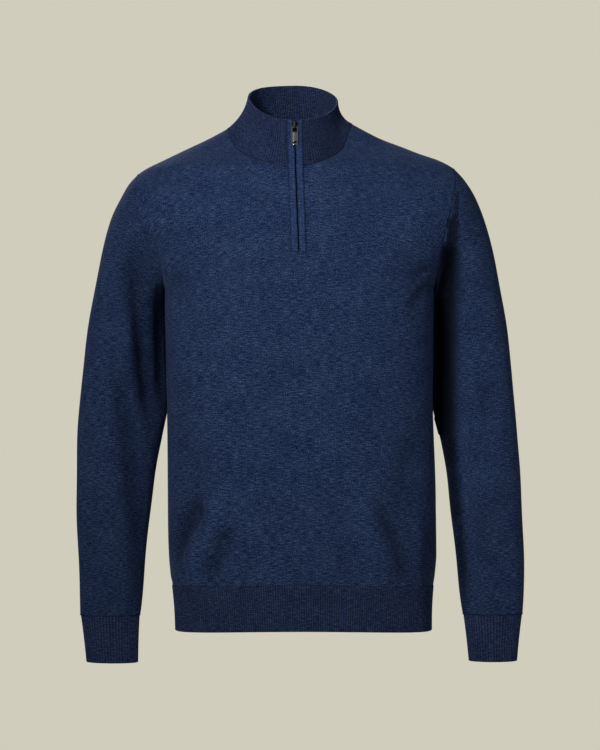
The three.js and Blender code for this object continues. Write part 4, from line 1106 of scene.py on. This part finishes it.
class ZipLine:
    """Stations up the zip: middle, outward normal, and the way along the cloth to each hand."""

    def __init__(self, right, left, collar):
        first = ZIP_ROW - round(0.1 * ARMHOLE_STEPS)
        edges = [(right[row, -1], right[row, -1 - SLIT_STEPS], left[row, 0], left[row, SLIT_STEPS])
                 for row in range(first, NECK_ROW + 1)]
        line = int(np.argmax(np.abs(collar[0, :, 0] - centre_x(collar[0, :, 2])) > PLACKET_LINE))
        edges += [(collar[row, -1], collar[row, -1 - line], collar[row, 0], collar[row, line])
                  for row in range(1, len(collar))]
        slit_r, line_r, slit_l, line_l = (np.array(part) for part in zip(*edges))
        self.middle = (slit_r + slit_l) / 2
        self.way = {-1: self.unit(line_r - self.middle), 1: self.unit(line_l - self.middle)}
        up = self.unit(np.gradient(self.middle, axis=0))
        across = self.unit(line_l - line_r)
        self.out = self.unit(np.cross(across, up))
        self.at = arc_lengths(self.middle)

    @staticmethod
    def unit(vectors):
        return vectors / np.linalg.norm(vectors, axis=-1, keepdims=True)

    def arc_at(self, z):
        return float(np.interp(z, self.middle[:, 2], self.at))

    def points(self, arcs, offset, lift):
        """Points at arc lengths up the zip, at an offset to a hand and a height off the cloth."""
        def mix(values):
            return np.stack([np.interp(arcs, self.at, values[:, k]) for k in range(3)], axis=-1)
        offset = np.broadcast_to(np.asarray(offset, float), np.shape(arcs))
        lift = np.broadcast_to(np.asarray(lift, float), np.shape(arcs))
        way = np.where(offset[:, None] < 0, mix(self.way[-1]), mix(self.way[1]))
        return mix(self.middle) + way * np.abs(offset)[:, None] + mix(self.out) * lift[:, None]


def placket_shell(name, hand, zip_line):
    """Facing strip beside the zip: a soft flat tube with a rolled edge at either side."""
    arcs = np.arange(zip_line.arc_at(PLACKET_FOOT), zip_line.at[-1] - 0.2, PLACKET_STEP)
    z = np.interp(arcs, zip_line.at, zip_line.middle[:, 2])
    inner = widen_at_top(PLACKET_INNER, PLACKET_INNER_TOP, z)
    turn = np.linspace(0, 2 * math.pi, PLACKET_POINTS, endpoint=False)
    side = np.sign(np.cos(turn)) * np.abs(np.cos(turn)) ** 0.5
    rise = np.sign(np.sin(turn)) * np.abs(np.sin(turn)) ** 0.8
    middle = (inner + PLACKET_OUTER) / 2
    half = (PLACKET_OUTER - inner) / 2
    groove = 0.4 * np.exp(-((np.abs(side) - 0.7) / 0.09) ** 2)
    rings = []
    for s, r, g in zip(side, rise, groove):
        lift = PLACKET_LIFT + PLACKET_WALL / 2 + (PLACKET_WALL / 2 - g) * r
        rings.append(zip_line.points(arcs, hand * (middle + half * s * hand), lift))
    grid = np.array(rings).transpose(1, 0, 2)
    rows, columns = grid.shape[:2]
    faces = grid_faces(rows, columns, True).tolist()
    faces.append(list(range(columns))[::-1])
    faces.append([(rows - 1) * columns + k for k in range(columns)])
    uv = np.stack([np.repeat((side * STRIP_WIDTH / 2)[None, :], rows, axis=0),
                   np.repeat(arcs[:, None], columns, axis=1)], axis=-1).reshape(-1, 2)
    points = grid.reshape(-1, 3)
    a, b, c = points[faces[0][0]], points[faces[0][1]], points[faces[0][2]]
    if np.dot(np.cross(b - a, c - b), a - grid[0].mean(axis=0)) < 0:
        faces = [face[::-1] for face in faces]
    # Painted light across the strip: painted highlight on each crest, painted shade in the groove beside it
    # and along the outer side
    crest = np.exp(-((np.abs(side) - 0.42) / 0.18) ** 2)
    fold = np.exp(-((np.abs(side) - 0.72) / 0.1) ** 2)
    rolled = np.where(hand * side > 0.9, 0.55, 1 + 0.4 * crest - 0.5 * fold)
    light = np.repeat(rolled[None, :], rows, axis=0)
    obj = new_mesh(name + "_strip", points, faces, FACING, uv, light)
    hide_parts(name)
    return obj


def tooth_corners(centre, across, up, out, size, chamfer=0.22):
    """Corners of a block with chamfered outer edges, from its back to its face."""
    half = np.asarray(size) / 2
    corners = []
    for depth, shrink in ((-1, 0), (1 - chamfer, 0), (1, chamfer)):
        for sx, sy in ((-1, -1), (1, -1), (1, 1), (-1, 1)):
            corners.append(centre + across * half[0] * sx * (1 - shrink) + up * half[1] * sy * (1 - shrink)
                           + out * half[2] * depth)
    return corners


def build_teeth(zip_line):
    """Interlocked teeth, turn and turn about from either tape."""
    sides = [(base + k, base + (k + 1) % 4, base + 4 + (k + 1) % 4, base + 4 + k)
             for base in (0, 4) for k in range(4)]
    block = [(3, 2, 1, 0), (8, 9, 10, 11)] + sides
    arcs = np.arange(zip_line.arc_at(ZIP_BOTTOM + 1.5), zip_line.arc_at(CHAIN_TOP + 4), TOOTH_PITCH)
    low = (TOOTH["high"] + TOOTH["low"]) / 2
    size = (2 * TOOTH["half"] - 2 * TOOTH_STEP, TOOTH["tall"], TOOTH["high"] - TOOTH["low"])
    centre = zip_line.points(arcs, 1e-6, low)
    ups = ZipLine.unit(zip_line.points(arcs + 0.5, 1e-6, low) - centre)
    ways = ZipLine.unit(zip_line.points(arcs, 1.0, low) - centre)
    points, faces = [], []
    for i, (place, across, up) in enumerate(zip(centre, ways, ups)):
        faces += [tuple(len(points) + k for k in quad) for quad in block]
        side = TOOTH_STEP if i % 2 else -TOOTH_STEP
        points += tooth_corners(place + across * side, across, up, np.cross(across, up), size)
    points = np.array(points)
    obj = new_mesh("zip_teeth", points, faces, TEETH, points[:, [0, 2]])
    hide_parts("zip_chain")
    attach(obj, "garment")


def stitch_row(name, line, out, sizes):
    """Row of short yarn stitches along a line, as one joined mesh of small spindles."""
    pitch, length, radius = sizes
    at = arc_lengths(line)
    count = int(at[-1] / pitch)
    arcs = (np.arange(count) + 0.5) * at[-1] / count

    def mix(values, where):
        return np.stack([np.interp(where, at, values[:, k]) for k in range(3)], axis=-1)

    centre = mix(line, arcs)
    way = mix(line, arcs + 0.3) - mix(line, arcs - 0.3)
    way /= np.maximum(np.linalg.norm(way, axis=1, keepdims=True), 1e-9)
    rise = ZipLine.unit(mix(out, arcs))
    aside = np.cross(rise, way)
    stations = ((-0.5, 0.25), (-0.25, 0.85), (0.1, 1.0), (0.4, 0.6), (0.5, 0.2))
    sides = 6
    turns = np.arange(sides) * 2 * math.pi / sides
    points, faces = [], []
    for i in range(count):
        start = len(points)
        for along, fat in stations:
            for turn in turns:
                points.append(centre[i] + way[i] * along * length
                              + (aside[i] * math.cos(turn) + rise[i] * math.sin(turn)) * radius * fat)
        faces += (grid_faces(len(stations), sides, True) + start).tolist()
        faces.append([start + k for k in range(sides)][::-1])
        faces.append([start + (len(stations) - 1) * sides + k for k in range(sides)])
    points = np.array(points)
    flat = points[list(faces[0])]
    if np.dot(np.cross(flat[1] - flat[0], flat[2] - flat[1]), flat[0] - centre[0]) < 0:
        faces = [face[::-1] for face in faces]
    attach(new_mesh(name, points, faces, YARN, points[:, [0, 2]]), "garment")


def build_seams(right, left, back, sleeves, collar):
    """Linking stitches along each seam, a little proud of the cloth."""
    def seam(name, line, out, proud, sizes, closed=False):
        if closed:
            line, out = (np.concatenate([part, part[:1]]) for part in (line, out))
        stitch_row(name, line + out * proud, out, sizes)

    normals = {side: grid_normals(grid, False) for side, grid in (("right", right), ("left", left))}
    back_out = grid_normals(back, False)
    seam("hem_seam_front", np.concatenate([right[0], left[0]]),
         np.concatenate([normals["right"][0], normals["left"][0]]), 0.25, LINKING)
    seam("hem_seam_back", back[0], back_out[0], 0.25, LINKING)
    for name, grid in sleeves:
        out = grid_normals(grid, True)
        seam("cuff_seam_" + name, grid[0], out[0], 0.25, LINKING, True)
        seam("armhole_seam_" + name, grid[-1], out[-2], 0.1, ARMHOLE_STITCH, True)
    seam("neck_seam", collar[0], grid_normals(collar, False)[1], 0.5, NECK_STITCH)
    top = slice(TIP_ROW, NECK_ROW + 1)
    low = slice(0, PIT_ROW + 1)
    for name, column in (("right", -1), ("left", 0)):
        seam("shoulder_seam_" + name, back[top, column], back_out[top, column], 0.1, SHOULDER_STITCH)
        seam("side_seam_" + name, back[low, column], back_out[low, column], 0.05, SIDE_STITCH)


def build_topstitch(zip_line):
    """Stitching along both plackets and across the foot of the zip."""
    arcs = np.arange(zip_line.arc_at(ZIP_BOTTOM - 1), zip_line.at[-1] - 1.5, 1.0)
    lift = PLACKET_LIFT + PLACKET_WALL - 0.1
    for name, hand in (("right", -1), ("left", 1)):
        offset = hand * (PLACKET_OUTER - 1.5)
        line = zip_line.points(arcs, offset, lift)
        out = line - zip_line.points(arcs, offset, lift - 1)
        stitch_row("placket_stitch_" + name, line, out, PLACKET_STITCH)
        edge = zip_line.points(arcs, hand * (PLACKET_OUTER + 0.15), 0.45)
        stitch_row("placket_edge_" + name, edge, out, PLACKET_EDGE)
    foot = np.array([zip_line.arc_at(ZIP_BOTTOM - 1.6)])
    across = np.linspace(-PLACKET_OUTER + 0.5, PLACKET_OUTER - 0.5, 20)
    line, under = (np.array([zip_line.points(foot, x, height)[0] for x in across])
                   for height in (lift, lift - 1))
    stitch_row("foot_stitch", line, line - under, FOOT_STITCH)


def dress_hardware():
    """The frame's own metal pieces and tapes, with rounded edges and finishes."""
    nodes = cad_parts
    for name, material, width in (("zip_slider", BRONZE, 0.45), ("zip_pull", NICKEL, 0.35)):
        obj = nodes[name]
        obj.data.materials.clear()
        obj.data.materials.append(material)
        weld = obj.modifiers.new("weld", "WELD")
        weld.merge_threshold = 0.01 * MM
        bevel = obj.modifiers.new("rounded", "BEVEL")
        bevel.width = width * MM
        bevel.segments = 3
        bevel.limit_method = "ANGLE"
        bevel.angle_limit = math.radians(35)
    for name in ("zip_tape_right", "zip_tape_left"):
        nodes[name].data.materials.clear()
        nodes[name].data.materials.append(TAPE)


def cut_size(grids, closed, upright=False):
    """Width, length and area in metres of grids that make one piece. The width is the widest row.
    The length is the longest column, and an upright panel's is its height."""
    wide = 0
    area = 0
    for grid in grids:
        rows = np.concatenate([grid, grid[:, :1]], axis=1) if closed else grid
        wide += np.linalg.norm(np.diff(rows, axis=1), axis=-1).sum(axis=1).max()
        across = rows[1:, 1:] - rows[:-1, :-1]
        back_across = rows[1:, :-1] - rows[:-1, 1:]
        area += np.linalg.norm(np.cross(across, back_across), axis=-1).sum() / 2
    if upright:
        tall = max(np.ptp(grid[..., 2]) for grid in grids)
    else:
        tall = max(column_lengths(grid)[-1].max() for grid in grids)
    return round(wide * MM, 4), round(float(tall) * MM, 4), round(area * MM * MM, 5)


build_camera()
build_studio()
right, left, back, front_obj, back_obj = build_panels()
sleeve_right, sleeve_right_obj = sleeve_shell("sleeve_right", -1, RIGHT_SLEEVE, right[:, 0], back[:, -1])
sleeve_left, sleeve_left_obj = sleeve_shell("sleeve_left", 1, LEFT_SLEEVE, back[:, 0], left[:, -1])
cuff_right, cuff_right_obj = cuff_shell("cuff_right", -1, RIGHT_SLEEVE[-1], RIGHT_CUFF[0])
cuff_left, cuff_left_obj = cuff_shell("cuff_left", 1, LEFT_SLEEVE[-1], LEFT_CUFF[0])
hem_front, hem_front_obj = hem_shell("hem_front", -1, np.concatenate([right[0], left[0]]))
hem_back, hem_back_obj = hem_shell("hem_back", 1, back[0])
neck_ring = np.concatenate([left[NECK_ROW], back[NECK_ROW][1:-1], right[NECK_ROW]])
collar, collar_obj = collar_shell(neck_ring)
zip_line = ZipLine(right, left, collar)
placket_right_obj = placket_shell("placket_right", -1, zip_line)
placket_left_obj = placket_shell("placket_left", 1, zip_line)
build_teeth(zip_line)
build_seams(right, left, back, (("right", sleeve_right), ("left", sleeve_left)), collar)
build_topstitch(zip_line)
dress_hardware()

strip_length = float(zip_line.at[-1] - zip_line.arc_at(PLACKET_FOOT))
strip = ((PLACKET_OUTER - PLACKET_INNER + PLACKET_WALL) * MM, strip_length * MM, None)
for obj, (wide, tall, area), rests_on in (
        (front_obj, cut_size((right, left), False, True), [collar_obj]),
        (back_obj, cut_size((back,), False, True), [collar_obj]),
        (sleeve_right_obj, cut_size((sleeve_right,), True), [front_obj, back_obj]),
        (sleeve_left_obj, cut_size((sleeve_left,), True), [front_obj, back_obj]),
        (cuff_right_obj, cut_size((cuff_right,), True), [sleeve_right_obj]),
        (cuff_left_obj, cut_size((cuff_left,), True), [sleeve_left_obj]),
        (hem_front_obj, cut_size((hem_front,), False), [front_obj]),
        (hem_back_obj, cut_size((hem_back,), False), [back_obj]),
        (collar_obj, cut_size((collar,), False), [front_obj, back_obj]),
        (placket_right_obj, strip, [front_obj, collar_obj]),
        (placket_left_obj, strip, [front_obj, collar_obj])):
    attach(obj, "garment")
